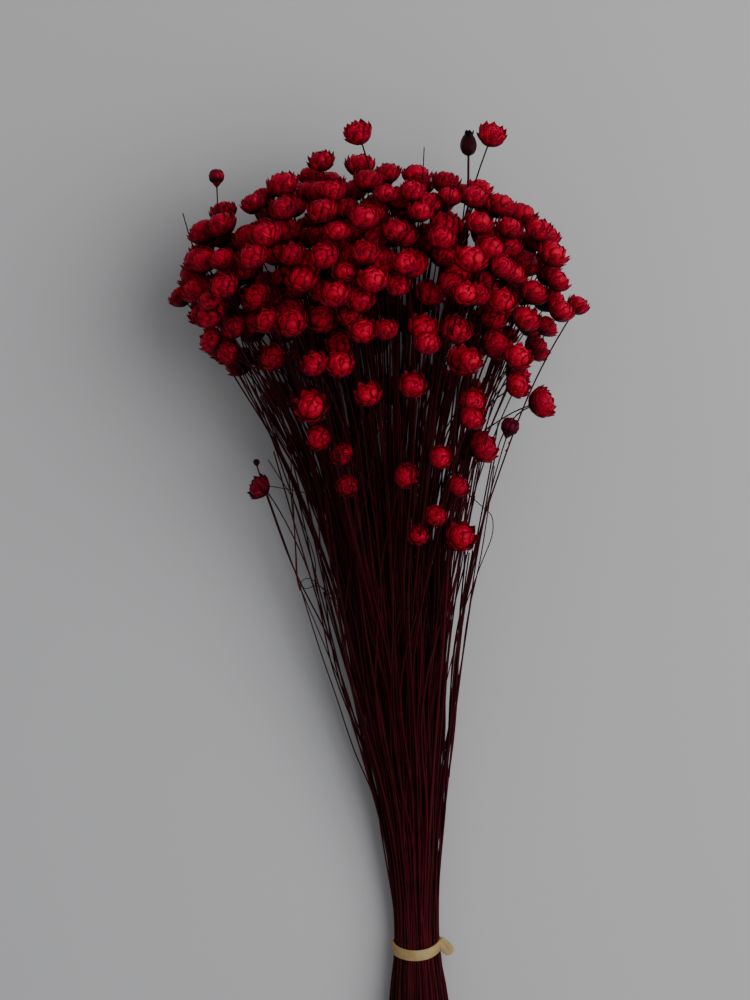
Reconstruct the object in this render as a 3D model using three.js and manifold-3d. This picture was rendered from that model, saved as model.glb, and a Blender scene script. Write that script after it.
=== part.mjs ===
// Preserved glixia: a bunch of dyed star flowers tied with a rubber band, lying on a table.
// Units are millimetres. +Y runs from the cut ends to the blooms, +X is the right of the bunch
// seen from above and +Z is up. Heights along the bunch are measured from the rubber band.

import * as THREE from 'three';
import { mergeVertices } from 'three/addons/utils/BufferGeometryUtils.js';
import Module from 'manifold-3d';

const V = (x, y, z) => new THREE.Vector3(x, y, z);
const TURN = 2 * Math.PI;
const GOLDEN_ANGLE = Math.PI * (3 - Math.sqrt(5));

// Heights along the bunch.
const CUT_Y = -88; // mean height of the cut ends
const CUT_SPREAD = 5; // how unevenly they were cut, either way
const BAND_Y = 0;
const PART_Y = 50; // the strands part into single stems here
const ARCH_Y = 185; // a stem leaves its straight run here and arches out to its bloom
const LOW_ARCH_Y = 120; // the same for the low blooms on the face of the bunch

// The bundle of stems where the band ties it.
const TIED_HALF_X = 8.4;
const TIED_HALF_Z = 6.4;
const STRAY_RING = 1.09; // single stems lie round the strands, just under the band
const STEM_SIDES = 3;
const STEM_RADIUS = 0.55;
const TIED_STEM_RADIUS = 0.45;
const NECK_RADIUS = 0.5;

// The rubber band, an even polygon that lies flat on the table with one side.
const BAND_WIDTH = 4.2;
const BAND_THICKNESS = 1.1;
const BAND_SIDES = 20;
const BAND_ROOM = 0.6; // to the stems, which spread a little inside the slanting band
const BAND_SLANT = 0.45; // it lies nearer the cut ends on top than underneath
const BAND_FLATNESS = Math.cos(Math.PI / BAND_SIDES);
const BAND_INNER_X = (STRAY_RING * TIED_HALF_X + TIED_STEM_RADIUS + BAND_ROOM) / BAND_FLATNESS;
const BAND_INNER_Z = (STRAY_RING * TIED_HALF_Z + TIED_STEM_RADIUS + BAND_ROOM) / BAND_FLATNESS;
const BAND_CENTRE_Z = (BAND_INNER_Z + BAND_THICKNESS) * BAND_FLATNESS;
const TAIL = { length: 9, width: 3.4, thickness: 2.2, angle: -1.05, stand: 0.5, y: 1.2, z: 0.2 };
const TAIL_CURVE_STEPS = 6;

// The ellipse across the stems at five heights: its centre and its half-widths.
const SECTIONS = [
  { y: CUT_Y, x: 2.0, z: 12.1, halfX: 14.6, halfZ: 10.2 },
  { y: BAND_Y, x: 0, z: BAND_CENTRE_Z, halfX: TIED_HALF_X, halfZ: TIED_HALF_Z },
  { y: PART_Y, x: -2.5, z: 11.6, halfX: 12.0, halfZ: 8.8 },
  { y: ARCH_Y, x: -12.0, z: 25.6, halfX: 38.0, halfZ: 21.5 },
  { y: 285, x: -18.0, z: 47.0, halfX: 84.0, halfZ: 54.0 },
];

// The crown of blooms: a dome over its widest level and, below that, a skirt on the spread stems.
const CROWN = { x: -18, y: 285, z: 47, halfX: 84, up: 60, over: 54 };
const UNDERSIDE_DEPTH = 0.76; // the table keeps the underside this much shallower
const DOME_SHARE = 0.62; // share of the stems, from the middle out, that end in the dome
const SKIRT_DROP_FACE = 62; // how far the skirt hangs on the face and the back of the bunch
const SKIRT_DROP_EDGE = 10; // and at its two edges
const CROWN_LIFT = 0.2; // the table pushes the blooms up, so more of them end on the upper side
const CROWN_DEPTH = 0.55; // the deepest blooms stand this share of the way in
const DEPTH_BIAS = 1.5; // above 1, more of them stand near the outside
const SPREAD_JITTER = 0.22;
const SIDE_JITTER = 0.9; // radians
const LOW_JITTER = 5;
const LOW_LIFT = 12;
const LOW_TOP = 94; // no bloom on the face has its middle higher than this
const LEAST_RISE = 0.1; // keeps a low bloom's place real at the very edge of the bunch

// Strands of stems, each a star in section with one lobe for every stem.
const STRANDS = 42;
const STRAND_STEMS = 6;
const STRAND_REACH = 0.892; // of the section's half-widths, to the outermost strand's middle
const LOBE_TIP = 0.102;
const LOBE_NOTCH = 0.052;
const LOBE_MIDDLE = 0.08; // where a stem's middle lies in its strand
const LOW_STRANDS = 4; // strands on top of the bundle that carry the blooms on its face

// Blooms. Rings are [radius, height], both as shares of the bloom's radius.
const BLOOM_RADIUS = [4.9, 6.6];
const BLOOM_HULL = 0.975; // no corner of a bloom lies further out than this
const NECK_HEIGHT = -0.82;
const BLOOM_BASE = [0.62, -0.48];
const OUTER_TIPS = [0.92, 0.32];
const VALLEYS = [0.66, 0.1];
const INNER_TIPS = [0.46, 0.74];
const BLOOM_MIDDLE = 0.4; // height of the hollow middle
const CROWN_BRACTS = 5;
const STRAY_BRACTS = 6;
const OUTWARD_LEAN = 0.9; // how far blooms turn from their stems to the open side
const LOOSE_LEAN = 0.35;
const BUD_PROFILE = [[0.62, -0.6], [0.93, -0.05], [0.7, 0.55], [0.22, 0.86]];
const CAPSULE_PROFILE = [[0.42, -0.6], [0.64, -0.1], [0.55, 0.4], [0.42, 0.66], [0.26, 0.9]];
const BUD_SIDES = 6;
const BUD_DIMPLE = 0.12; // how deep the tip of a bud is pressed in

// Draws for the placing of the blooms.
const DRAW_STEPS = [2, 3, 5, 7, 11, 13].map((prime) => Math.sqrt(prime) % 1);
const TRIES = 24;
const CLEARANCE = 0.15;
const TABLE_CLEARANCE = 0.3;
const PLAN_SPACING = 9; // blooms of one side spread this far apart seen from above
const HIDING_WEIGHT = 0.1;
const LEAST_GAIN = 1e-6;

// Easing the blooms apart.
const PASSES = 400;
const PASSES_PER_SEARCH = 10;
const SEARCH_REACH = 2;
const EASE = 0.8; // share of a missing room made up in one pass
const EASED = 0.02;
const MOST_DRIFT = 14;
const LEAST_SWAY = 0.002; // nearer its arch a stem stands too firm to be moved aside
const FIRM_SWAY = 0.02; // and up to here it is moved only a little at a time

// Blooms on the face of the bunch: across, along, radius.
const LOW_BLOOMS = [
  [-54.1, 273.7, 6.5],
  [-50.2, 257.8, 5.6],
  [-37.0, 256.5, 5.8],
  [-35.6, 284.7, 6.4],
  [-22.9, 283.4, 6.4],
  [-24.2, 269.3, 5.6],
  [-13.6, 272.8, 4.9],
  [1.8, 247.1, 5.6],
  [2.2, 269.6, 5.3],
  [12.2, 259.3, 5.2],
  [29.5, 257.6, 6.4],
  [37.2, 260.8, 6.0],
  [-42.7, 236.7, 6.4],
  [-41.4, 221.3, 5.2],
  [-37.0, 214.0, 5.0],
  [-29.9, 202.8, 4.8],
  [-20.7, 241.6, 5.4],
  [-5.3, 208.0, 5.2],
  [11.4, 233.6, 5.2],
  [11.9, 218.2, 5.0],
  [21.6, 202.8, 4.8],
  [24.0, 235.5, 5.6],
  [29.9, 219.1, 6.6],
  [41.0, 247.0, 5.4],
];

// Single stems: place and radius of the bloom, its facing, and the stem's turn on the ring.
const STRAYS = [
  { name: 'tall_bloom_left', at: [-25.8, 357.2, 70], radius: 5.8, facing: [-0.3, 0.8, 0.5], ring: 0.31 },
  { name: 'tall_bloom_right', at: [32.4, 356.2, 72], radius: 5.8, facing: [0.3, 0.8, 0.5], ring: 0.21 },
  { name: 'seed_capsule', at: [22.4, 352.6, 58], radius: 5.6, facing: [0, 1, 0.1], ring: 0.14,
    kind: 'capsule' },
  { name: 'round_bud', at: [-87.8, 338.8, 56], radius: 3.6, facing: [0, 1, 0], ring: 0.45,
    kind: 'bud' },
  { name: 'proud_bloom', at: [-42.0, 345.6, 60], radius: 5.3, facing: [-0.2, 0.9, 0.4], ring: 0.37 },
  { name: 'right_bloom_far', at: [70.8, 282.9, 44], radius: 4.7, facing: [0.5, 0.8, 0.2], ring: 0.97 },
  { name: 'right_bloom_near', at: [62.9, 279.8, 64], radius: 5.4, facing: [0.5, 0.7, 0.3], ring: 0.1 },
  { name: 'right_star', at: [54.6, 239.8, 58], radius: 6.4, facing: [0.85, 0.3, 0.4], ring: 0.02 },
  { name: 'closed_bloom', at: [40.5, 229.2, 62], radius: 4.2, facing: [0.3, 0.9, 0.3], ring: 0.06,
    kind: 'bud', arch: LOW_ARCH_Y },
  { name: 'left_star', at: [-69.5, 202.8, 44], radius: 5.0, facing: [-0.8, 0.4, 0.4], ring: 0.48,
    arch: LOW_ARCH_Y },
  { name: 'tiny_bud', at: [-70.8, 213.8, 32], radius: 1.5, facing: [-0.1, 1, 0], ring: 0.54,
    kind: 'bud', arch: LOW_ARCH_Y },
  { name: 'low_bloom_right', at: [19.4, 180.8, 54], radius: 6.2, facing: [0.1, 0.5, 0.85], ring: 0.175,
    arch: LOW_ARCH_Y },
  { name: 'low_bloom_middle', at: [8.4, 190.0, 57], radius: 4.6, facing: [0, 0.6, 0.8], ring: 0.24,
    arch: LOW_ARCH_Y },
  { name: 'low_bloom_left', at: [0.6, 181.5, 54], radius: 4.4, facing: [-0.2, 0.6, 0.8], ring: 0.27,
    arch: LOW_ARCH_Y },
  { name: 'resting_bloom_left', at: [-62, 244, 6], radius: 5.6, facing: [-0.6, 0.6, -0.4], ring: 0.68,
    rests: true },
  { name: 'resting_bloom_right', at: [26, 246, 6], radius: 5.6, facing: [0.6, 0.6, -0.4], ring: 0.8,
    rests: true },
];

const DYED_FLOWER = new THREE.MeshStandardMaterial({ color: 0x8c0c16, roughness: 0.72, metalness: 0 });
const DARK_FLOWER = new THREE.MeshStandardMaterial({ color: 0x2c0a10, roughness: 0.7, metalness: 0 });
const RUBBER = new THREE.MeshStandardMaterial({ color: 0xb9a383, roughness: 0.6, metalness: 0 });

const mix = (a, b, t) => a + (b - a) * t;
const clamp01 = (t) => Math.min(1, Math.max(0, t));
const evenTurns = (count, shift = 0) => Array.from({ length: count }, (_, i) => (i + shift) / count);

/** An even, repeatable draw between 0 and 1: the k-th draw of item n. */
const draw = (n, k) => (n * DRAW_STEPS[k] + 0.5) % 1;

// Places in the bundle.

/** The ellipse across the stems at one height. */
function section(y) {
  const below = SECTIONS.findLastIndex((s) => s.y <= y);
  const i = Math.min(SECTIONS.length - 2, Math.max(0, below));
  const [a, b] = [SECTIONS[i], SECTIONS[i + 1]];
  const t = (y - a.y) / (b.y - a.y);
  return {
    x: mix(a.x, b.x, t), z: mix(a.z, b.z, t),
    halfX: mix(a.halfX, b.halfX, t), halfZ: mix(a.halfZ, b.halfZ, t),
  };
}

/** A place at one height: (u, v) lie in the unit disk, u to the right and v up. */
function inBundle(y, u, v) {
  const s = section(y);
  return V(s.x + u * s.halfX, y, s.z + v * s.halfZ);
}

/** The direction across the bunch that an angle stands for, with y along the bunch. */
const sideways = (angle) => V(Math.cos(angle), 0, Math.sin(angle));

// Room between stems and blooms.

/** Where two segments pass closest, as shares along each. */
function closestShares(p1, q1, p2, q2) {
  const d1 = q1.clone().sub(p1);
  const d2 = q2.clone().sub(p2);
  const r = p1.clone().sub(p2);
  const [a, b, c, e, f] = [d1.dot(d1), d1.dot(d2), d1.dot(r), d2.dot(d2), d2.dot(r)];
  const tiny = 1e-9;
  const s = clamp01((b * f - c * e) / Math.max(a * e - b * b, tiny));
  const t = clamp01((b * s + f) / Math.max(e, tiny));
  return [clamp01((b * t - c) / Math.max(a, tiny)), t];
}

/** The parts of a stem that need room: its bloom, its arched arm and its straight run. */
function roomyParts(stem) {
  const move = stem.name ? 0 : 1;
  return [
    { from: stem.centre, to: stem.centre, room: BLOOM_HULL * stem.radius, sway: [move, move] },
    { from: stem.arch, to: stem.neck, room: STEM_RADIUS, sway: [0, move] },
    { from: stem.part, to: stem.arch, room: STEM_RADIUS, sway: [0, 0] },
  ];
}

/** How two parts of two stems stand: what is missing of their room and how to part them. */
function contact(a, b) {
  const [s, t] = closestShares(a.from, a.to, b.from, b.to);
  const apart = a.from.clone().lerp(a.to, s).sub(b.from.clone().lerp(b.to, t));
  const gap = apart.length();
  const [swayA, swayB] = [mix(...a.sway, s), mix(...b.sway, t)];
  return { missing: a.room + b.room + CLEARANCE - gap, apart: apart.divideScalar(gap), swayA, swayB };
}

/** The contacts of two stems that moving their blooms can part. */
function contacts(a, b, reach = 0) {
  return roomyParts(a).flatMap((partA) => roomyParts(b).map((partB) => contact(partA, partB)))
    .filter(({ missing, swayA, swayB }) => missing > -reach && swayA ** 2 + swayB ** 2 > LEAST_SWAY);
}

/** How much two blooms are in each other's way, and hide each other from above. */
function crowding(a, b) {
  const need = BLOOM_HULL * (a.radius + b.radius) + CLEARANCE;
  const touch = Math.max(0, need - a.centre.distanceTo(b.centre));
  const sameSide = (a.centre.z - CROWN.z) * (b.centre.z - CROWN.z) > 0;
  const apart = Math.hypot(a.centre.x - b.centre.x, a.centre.y - b.centre.y);
  return touch + (sameSide ? HIDING_WEIGHT * Math.max(0, PLAN_SPACING - apart) : 0);
}

// Placing of the stems and their blooms.

/** Two directions square to an axis, the first as near as can be to a wanted one. */
function squareTo(axis, wanted) {
  const first = wanted.clone().addScaledVector(axis, -wanted.dot(axis)).normalize();
  return [first, axis.clone().cross(first)];
}

/** The same stem with its bloom set down at a place, turned along facing. */
function withBloom(stem, centre, facing) {
  const neck = centre.clone().addScaledVector(facing, NECK_HEIGHT * stem.radius);
  return { ...stem, centre, facing, neck };
}

/** The open side at a place: away from the crown's middle. */
function outward(place) {
  return V(
    (place.x - CROWN.x) / CROWN.halfX ** 2,
    (place.y - CROWN.y) / CROWN.up ** 2,
    (place.z - CROWN.z) / CROWN.over ** 2,
  ).normalize();
}

/** The same stem with its bloom turned between the stem, the open side and a loose draw. */
function withFreeBloom(stem, n) {
  const loose = V(draw(n, 3), draw(n, 4), draw(n, 5)).subScalar(0.5).multiplyScalar(2 * LOOSE_LEAN);
  const facing = stem.centre.clone().sub(stem.arch).normalize()
    .addScaledVector(outward(stem.centre), OUTWARD_LEAN).add(loose).normalize();
  return withBloom(stem, stem.centre, facing);
}

/** One try for a crown bloom, near where its stem's place in the bundle would take it. */
function crownPlace(stem, n) {
  const spread = clamp01(stem.u ** 2 + stem.v ** 2 + SPREAD_JITTER * (draw(n, 0) - 0.5));
  const side = Math.atan2(stem.v + CROWN_LIFT, stem.u) + SIDE_JITTER * (draw(n, 1) - 0.5);
  const depth = mix(1, CROWN_DEPTH, draw(n, 2) ** DEPTH_BIAS);
  const over = Math.sin(side);
  const cosine = Math.max(0, 1 - spread / DOME_SHARE);
  const fall = Math.max(0, spread - DOME_SHARE) / (1 - DOME_SHARE);
  const drop = fall * mix(SKIRT_DROP_EDGE, SKIRT_DROP_FACE, Math.abs(over));
  const widest = section(CROWN.y - drop);
  const reach = depth * Math.sqrt(1 - cosine ** 2);
  const halfZ = widest.halfZ * (over > 0 ? 1 : UNDERSIDE_DEPTH);
  return V(
    widest.x + reach * widest.halfX * Math.cos(side),
    CROWN.y - drop + depth * CROWN.up * cosine,
    Math.max(widest.z + reach * halfZ * over, stem.radius + TABLE_CLEARANCE),
  );
}

/** One try for a low bloom, over its given place and about the face of the bunch. */
function lowPlace(stem, n) {
  const [x, y] = stem.target;
  const s = section(y);
  const rise = Math.sqrt(Math.max(LEAST_RISE, 1 - ((x - s.x) / s.halfX) ** 2));
  const onFace = Math.min(LOW_TOP, s.z + s.halfZ * rise + stem.radius);
  return V(
    x + LOW_JITTER * (draw(n, 0) - 0.5),
    y + LOW_JITTER * (draw(n, 1) - 0.5),
    onFace + LOW_LIFT * (draw(n, 2) - 0.5),
  );
}

/** A stem before it has a bloom: its places on the straight run. */
function bareStem(u, v, angle, archY) {
  const part = inBundle(PART_Y, u, v);
  const arch = part.clone().lerp(inBundle(ARCH_Y, u, v), (archY - PART_Y) / (ARCH_Y - PART_Y));
  return { u, v, angle, part, arch };
}

/** The strands in a sunflower spiral across the bundle, each with its stems. */
function strandsOfStems() {
  const strands = Array.from({ length: STRANDS }, (_, k) => {
    const reach = STRAND_REACH * Math.sqrt((k + 0.5) / STRANDS);
    const angle = k * GOLDEN_ANGLE;
    return { k, angle, u: reach * Math.cos(angle), v: reach * Math.sin(angle) };
  });
  const low = [...strands].sort((a, b) => b.v - a.v).slice(0, LOW_STRANDS).sort((a, b) => a.u - b.u);
  return strands.map((strand) => ({ ...strand, stems: stemsOf(strand, low.indexOf(strand)) }));
}

/** A strand's stems, one in each lobe. Those of a low strand take the low blooms' places. */
function stemsOf(strand, lowRank) {
  const stems = Array.from({ length: STRAND_STEMS }, (_, j) => {
    const angle = strand.angle - (j / STRAND_STEMS) * TURN;
    const u = strand.u + LOBE_MIDDLE * Math.cos(angle);
    const v = strand.v + LOBE_MIDDLE * Math.sin(angle);
    const radius = mix(...BLOOM_RADIUS, draw(strand.k * STRAND_STEMS + j, 0));
    return { ...bareStem(u, v, angle, lowRank < 0 ? ARCH_Y : LOW_ARCH_Y), radius };
  });
  if (lowRank < 0) return stems;
  const targets = [...LOW_BLOOMS].sort((a, b) => a[0] - b[0]).slice(lowRank * STRAND_STEMS);
  [...stems].sort((a, b) => a.u - b.u).forEach((stem, i) => {
    stem.target = targets[i];
    [, , stem.radius] = targets[i];
  });
  return stems;
}

/** The single stems, with their blooms where they are given. */
function strayStems() {
  return STRAYS.map((stray) => {
    const angle = stray.ring * TURN;
    const [u, v] = [STRAY_RING * Math.cos(angle), STRAY_RING * Math.sin(angle)];
    const stem = { ...stray, ...bareStem(u, v, angle, stray.arch ?? ARCH_Y) };
    const facing = V(...stray.facing).normalize();
    const placed = withBloom(stem, V(...stray.at), facing);
    if (!stray.rests) return placed;
    const lowest = Math.min(...bloomRings(placed).flat().map((corner) => corner.place.z));
    return withBloom(stem, V(...stray.at).setZ(stray.at[2] - lowest), facing);
  });
}

/** Gives every stem the least crowded of a few places for its bloom. */
function scatterBlooms(stems, strays) {
  const placed = [...strays];
  for (const stem of stems) {
    const tries = Array.from({ length: TRIES }, (_, k) => {
      const n = placed.length * TRIES + k;
      const centre = stem.target ? lowPlace(stem, n) : crownPlace(stem, n);
      const score = placed.reduce((sum, other) => sum + crowding({ ...stem, centre }, other), 0);
      return { centre, score };
    });
    const { centre } = tries.reduce((best, next) => (next.score < best.score ? next : best));
    placed.push({ ...stem, centre });
  }
  return placed.slice(strays.length);
}

/** Lets stems trade blooms until every pair goes its straightest way and none cross. */
function tradeBlooms(stems) {
  const detour = (stem, { centre }) =>
    centre.distanceToSquared(inBundle(centre.y, stem.u, stem.v));
  const gains = (a, b) => detour(a, b) + detour(b, a) < detour(a, a) + detour(b, b) - LEAST_GAIN;
  for (let trades = 1; trades > 0;) {
    trades = 0;
    stems.forEach((a, i) => stems.slice(i + 1).forEach((b) => {
      if (a.arch.y !== b.arch.y || !gains(a, b)) return;
      [a.centre, b.centre] = [b.centre, a.centre];
      [a.radius, b.radius] = [b.radius, a.radius];
      trades += 1;
    }));
  }
}

/** Moves the blooms apart, a little at a time, until no stem or bloom touches another. */
function easeApart(stems) {
  let pairs = [];
  const homes = stems.map((stem) => stem.centre.clone());
  const shift = (stem, way, amount) => {
    stem.centre.addScaledVector(way, amount);
    stem.neck.addScaledVector(way, amount);
  };
  for (let pass = 0; pass < PASSES; pass += 1) {
    if (pass % PASSES_PER_SEARCH === 0) {
      pairs = stems.flatMap((a, i) => stems.slice(i + 1)
        .filter((b) => contacts(a, b, SEARCH_REACH).length > 0).map((b) => [a, b]));
    }
    let touching = 0;
    for (const [a, b] of pairs) {
      for (const { missing, apart, swayA, swayB } of contacts(a, b)) {
        touching += missing > EASED ? 1 : 0;
        const push = EASE * missing / Math.max(swayA ** 2 + swayB ** 2, FIRM_SWAY);
        shift(a, apart, push * swayA);
        shift(b, apart, -push * swayB);
      }
    }
    stems.forEach((stem, i) => {
      if (stem.name) return;
      shift(stem, V(0, 0, 1), Math.max(0, stem.radius + TABLE_CLEARANCE - stem.centre.z));
      const drift = homes[i].clone().sub(stem.centre);
      shift(stem, drift.clone().normalize(), Math.max(0, drift.length() - MOST_DRIFT));
    });
    if (touching === 0) break;
  }
}

// Rings of a solid. A ring is a list of corners {place, turn}, with turn its angle from 0 to 1.

function ring(centre, first, second, radius, turns) {
  return turns.map((turn) => ({
    turn,
    place: centre.clone().addScaledVector(first, radius * Math.cos(turn * TURN))
      .addScaledVector(second, radius * Math.sin(turn * TURN)),
  }));
}

/** A ring across a stem, with its first corner towards the side of its lobe. */
function stemRing(centre, axis, angle, radius) {
  return ring(centre, ...squareTo(axis, sideways(angle)), radius, evenTurns(STEM_SIDES));
}

/** Rings of a bloom, from over its neck to the point that closes its middle. */
function bloomRings(stem) {
  const { centre, facing, radius, kind } = stem;
  const [first, second] = squareTo(facing, neckSide(stem));
  const at = (height) => centre.clone().addScaledVector(facing, height * radius);
  const round = ([share, height], turns) => ring(at(height), first, second, share * radius, turns);
  if (kind) {
    const profile = kind === 'bud' ? BUD_PROFILE : CAPSULE_PROFILE;
    const rings = profile.map((level, i) => round(level, evenTurns(BUD_SIDES, i % 2 ? 0.5 : 0)));
    return [...rings, [{ place: at(profile.at(-1)[1] - BUD_DIMPLE), turn: 0 }]];
  }
  const bracts = stem.name ? STRAY_BRACTS : CROWN_BRACTS;
  const tips = round(OUTER_TIPS, evenTurns(bracts));
  const valleys = round(VALLEYS, evenTurns(bracts, 0.5));
  return [
    round(BLOOM_BASE, evenTurns(bracts, 0.5)),
    tips.flatMap((tip, i) => [tip, valleys[i]]),
    round(INNER_TIPS, evenTurns(bracts, 0.5)),
    [{ place: at(BLOOM_MIDDLE), turn: 0 }],
  ];
}

/** The way a stem points where it meets its bloom, halfway between the two. */
const neckAxis = (stem) => stem.neck.clone().sub(stem.arch).normalize().add(stem.facing).normalize();

/** The side of the neck that the stem's first corner lies on. */
const neckSide = (stem) => squareTo(neckAxis(stem), sideways(stem.angle))[0];

/** A list of triangles that grows ring by ring into one closed solid. */
class Solid {
  constructor() {
    this.places = [];
    this.triangles = [];
  }

  /** Takes in a ring's corners and gives each its number. */
  add(corners) {
    return corners.map(({ place, turn }) => ({ place, turn, id: this.places.push(place) - 1 }));
  }

  face(a, b, c) {
    this.triangles.push(a.id, b.id, c.id);
  }

  /** Closes the first ring with a flat fan that faces back along the stem. */
  capStart(corners) {
    for (let i = 1; i + 1 < corners.length; i += 1) this.face(corners[0], corners[i + 1], corners[i]);
  }

  /** Closes a first ring that is a star: its middle, and then each of its lobes. */
  capStar(corners) {
    const notches = corners.filter((_, i) => i % 2 === 1);
    this.capStart(notches);
    notches.forEach((notch, j) => this.capStart([notches.at(j - 1), corners[2 * j], notch]));
  }

  /** Closes a ring with a flat fan that faces on along the stem. */
  capEnd(corners) {
    this.capStart([...corners].reverse());
  }

  /** Joins a ring to the next one, corner by corner in the order of their turns. */
  bridge(lower, upper) {
    const low = orderedFrom(lower, lower[0].turn);
    const up = orderedFrom(upper, lower[0].turn);
    let [i, j] = [0, 0];
    while (i < lower.length || j < upper.length) {
      const lowIsNext = j === upper.length || (i < lower.length && low[i + 1].turn <= up[j + 1].turn);
      if (lowIsNext) {
        this.face(low[i].corner, low[i + 1].corner, up[j].corner);
        i += 1;
      } else {
        this.face(low[i].corner, up[j + 1].corner, up[j].corner);
        j += 1;
      }
    }
  }

  /** Joins a ring to the point that closes the solid. */
  close(corners, pole) {
    corners.forEach((corner, i) => this.face(corner, corners[(i + 1) % corners.length], pole));
  }

  mesh(name, material) {
    const geometry = new THREE.BufferGeometry();
    const positions = this.places.flatMap((place) => place.toArray());
    geometry.setAttribute('position', new THREE.Float32BufferAttribute(positions, 3));
    geometry.setIndex(this.triangles);
    return named(new THREE.Mesh(geometry, material), name);
  }
}

/** A ring's corners in order from the one nearest a turn, back round to that one. */
function orderedFrom(corners, base) {
  const offset = (corner) => corner.turn - base - Math.round(corner.turn - base);
  const nearest = corners.reduce((best, corner) =>
    (Math.abs(offset(corner)) < Math.abs(offset(best)) ? corner : best));
  const begin = corners.indexOf(nearest);
  const first = base + offset(nearest);
  const list = corners.map((_, i) => {
    const corner = corners[(begin + i) % corners.length];
    return { corner, turn: first + ((corner.turn - nearest.turn + 2) % 1) };
  });
  return [...list, { corner: nearest, turn: first + 1 }];
}

function named(mesh, name) {
  mesh.name = name;
  return mesh;
}

/** Runs a stem on from a ring of the solid, up its arch, and closes it with its bloom. */
function growBloom(solid, from, stem) {
  const neck = solid.add(stemRing(stem.neck, neckAxis(stem), stem.angle, NECK_RADIUS));
  const rings = [neck, ...bloomRings(stem).map((corners) => solid.add(corners))];
  const [pole] = rings.pop();
  solid.bridge(from, neck);
  for (let i = 0; i + 1 < rings.length; i += 1) solid.bridge(rings[i], rings[i + 1]);
  solid.close(rings.at(-1), pole);
}

/** The star outline of a strand at one height: a tip for every stem and a notch after it. */
function strandRing(strand, y) {
  const corner = (reach, step) => {
    const angle = strand.angle - (step / STRAND_STEMS) * TURN;
    return {
      place: inBundle(y, strand.u + reach * Math.cos(angle), strand.v + reach * Math.sin(angle)),
      turn: step / STRAND_STEMS,
    };
  };
  return evenTurns(STRAND_STEMS).flatMap((_, j) =>
    [corner(LOBE_TIP, j), corner(LOBE_NOTCH, j + 0.5)]);
}

const cutHeight = (n) => CUT_Y + CUT_SPREAD * (2 * draw(n, 1) - 1);

/** One strand: a lobed bundle through the band that parts into stems with their blooms. */
function strandMesh(strand) {
  const solid = new Solid();
  const rings = [cutHeight(strand.k), BAND_Y, PART_Y].map((y) => solid.add(strandRing(strand, y)));
  solid.capStar(rings[0]);
  solid.bridge(rings[0], rings[1]);
  solid.bridge(rings[1], rings[2]);
  const top = rings[2];
  solid.capEnd(top.filter((_, i) => i % 2 === 1));
  strand.stems.forEach((stem, j) => {
    const lobe = [top[2 * j], top[2 * j + 1], top[(2 * j + top.length - 1) % top.length]]
      .map((corner, i) => ({ ...corner, turn: i / STEM_SIDES }));
    const arch = solid.add(stemRing(stem.arch, V(0, 1, 0), stem.angle, STEM_RADIUS));
    solid.bridge(lobe, arch);
    growBloom(solid, arch, stem);
  });
  return solid.mesh(`strand_${String(strand.k + 1).padStart(2, '0')}`, DYED_FLOWER);
}

/** One single stem with its bloom, from its cut end through the band. */
function strayMesh(stem, n) {
  const solid = new Solid();
  const rows = [cutHeight(n + STRANDS), BAND_Y].map((y) => [inBundle(y, stem.u, stem.v), TIED_STEM_RADIUS]);
  rows.push([stem.part, STEM_RADIUS], [stem.arch, STEM_RADIUS]);
  const rings = rows.map(([centre, radius]) =>
    solid.add(stemRing(centre, V(0, 1, 0), stem.angle, radius)));
  solid.capStart(rings[0]);
  for (let i = 0; i + 1 < rings.length; i += 1) solid.bridge(rings[i], rings[i + 1]);
  growBloom(solid, rings.at(-1), stem);
  return solid.mesh(stem.name, stem.kind ? DARK_FLOWER : DYED_FLOWER);
}

// The rubber band.

/** The band's loop: a flat strip round the stems that leans towards the cut ends on top. */
function bandLoop() {
  const outline = (grow, y) => evenTurns(BAND_SIDES, 0.5).map((turn) => {
    const across = (BAND_INNER_X + grow) * Math.cos(turn * TURN);
    const over = (BAND_INNER_Z + grow) * Math.sin(turn * TURN);
    return { place: V(across, y - BAND_SLANT * over, BAND_CENTRE_Z + over), turn: 1 - turn };
  }).reverse();
  const solid = new Solid();
  const half = BAND_WIDTH / 2;
  const rings = [[0, -half], [BAND_THICKNESS, -half], [BAND_THICKNESS, half], [0, half]]
    .map(([grow, y]) => solid.add(outline(grow, y)));
  rings.forEach((corners, i) => solid.bridge(corners, rings[(i + 1) % rings.length]));
  return solid.mesh('', RUBBER).geometry;
}

/** The band's folded tail, a flat tongue with a round end that lies off to the right. */
function bandTail() {
  const { length, width, thickness } = TAIL;
  const outline = new THREE.Shape();
  outline.moveTo(0, -width / 2);
  outline.lineTo(length - width / 2, -width / 2);
  outline.absarc(length - width / 2, 0, width / 2, -Math.PI / 2, Math.PI / 2);
  outline.lineTo(0, width / 2);
  const tail = new THREE.ExtrudeGeometry(outline, {
    depth: thickness, bevelEnabled: false, curveSegments: TAIL_CURVE_STEPS,
  });
  tail.rotateZ(TAIL.angle);
  tail.translate(BAND_INNER_X + BAND_THICKNESS + TAIL.stand, TAIL.y, BAND_CENTRE_Z + TAIL.z);
  return tail;
}

/** The band as one solid, loop and tail joined. */
async function bandMesh() {
  const wasm = await Module();
  wasm.setup();
  const solidOf = (geometry) => {
    geometry.deleteAttribute('normal');
    geometry.deleteAttribute('uv');
    const merged = mergeVertices(geometry);
    return new wasm.Manifold(new wasm.Mesh({
      numProp: 3,
      vertProperties: Float32Array.from(merged.attributes.position.array),
      triVerts: Uint32Array.from(merged.index.array),
    }));
  };
  const joined = solidOf(bandLoop()).add(solidOf(bandTail())).getMesh();
  const geometry = new THREE.BufferGeometry();
  geometry.setAttribute('position', new THREE.BufferAttribute(joined.vertProperties, 3));
  geometry.setIndex(new THREE.BufferAttribute(joined.triVerts, 1));
  return named(new THREE.Mesh(geometry, RUBBER), 'rubber_band');
}

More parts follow.
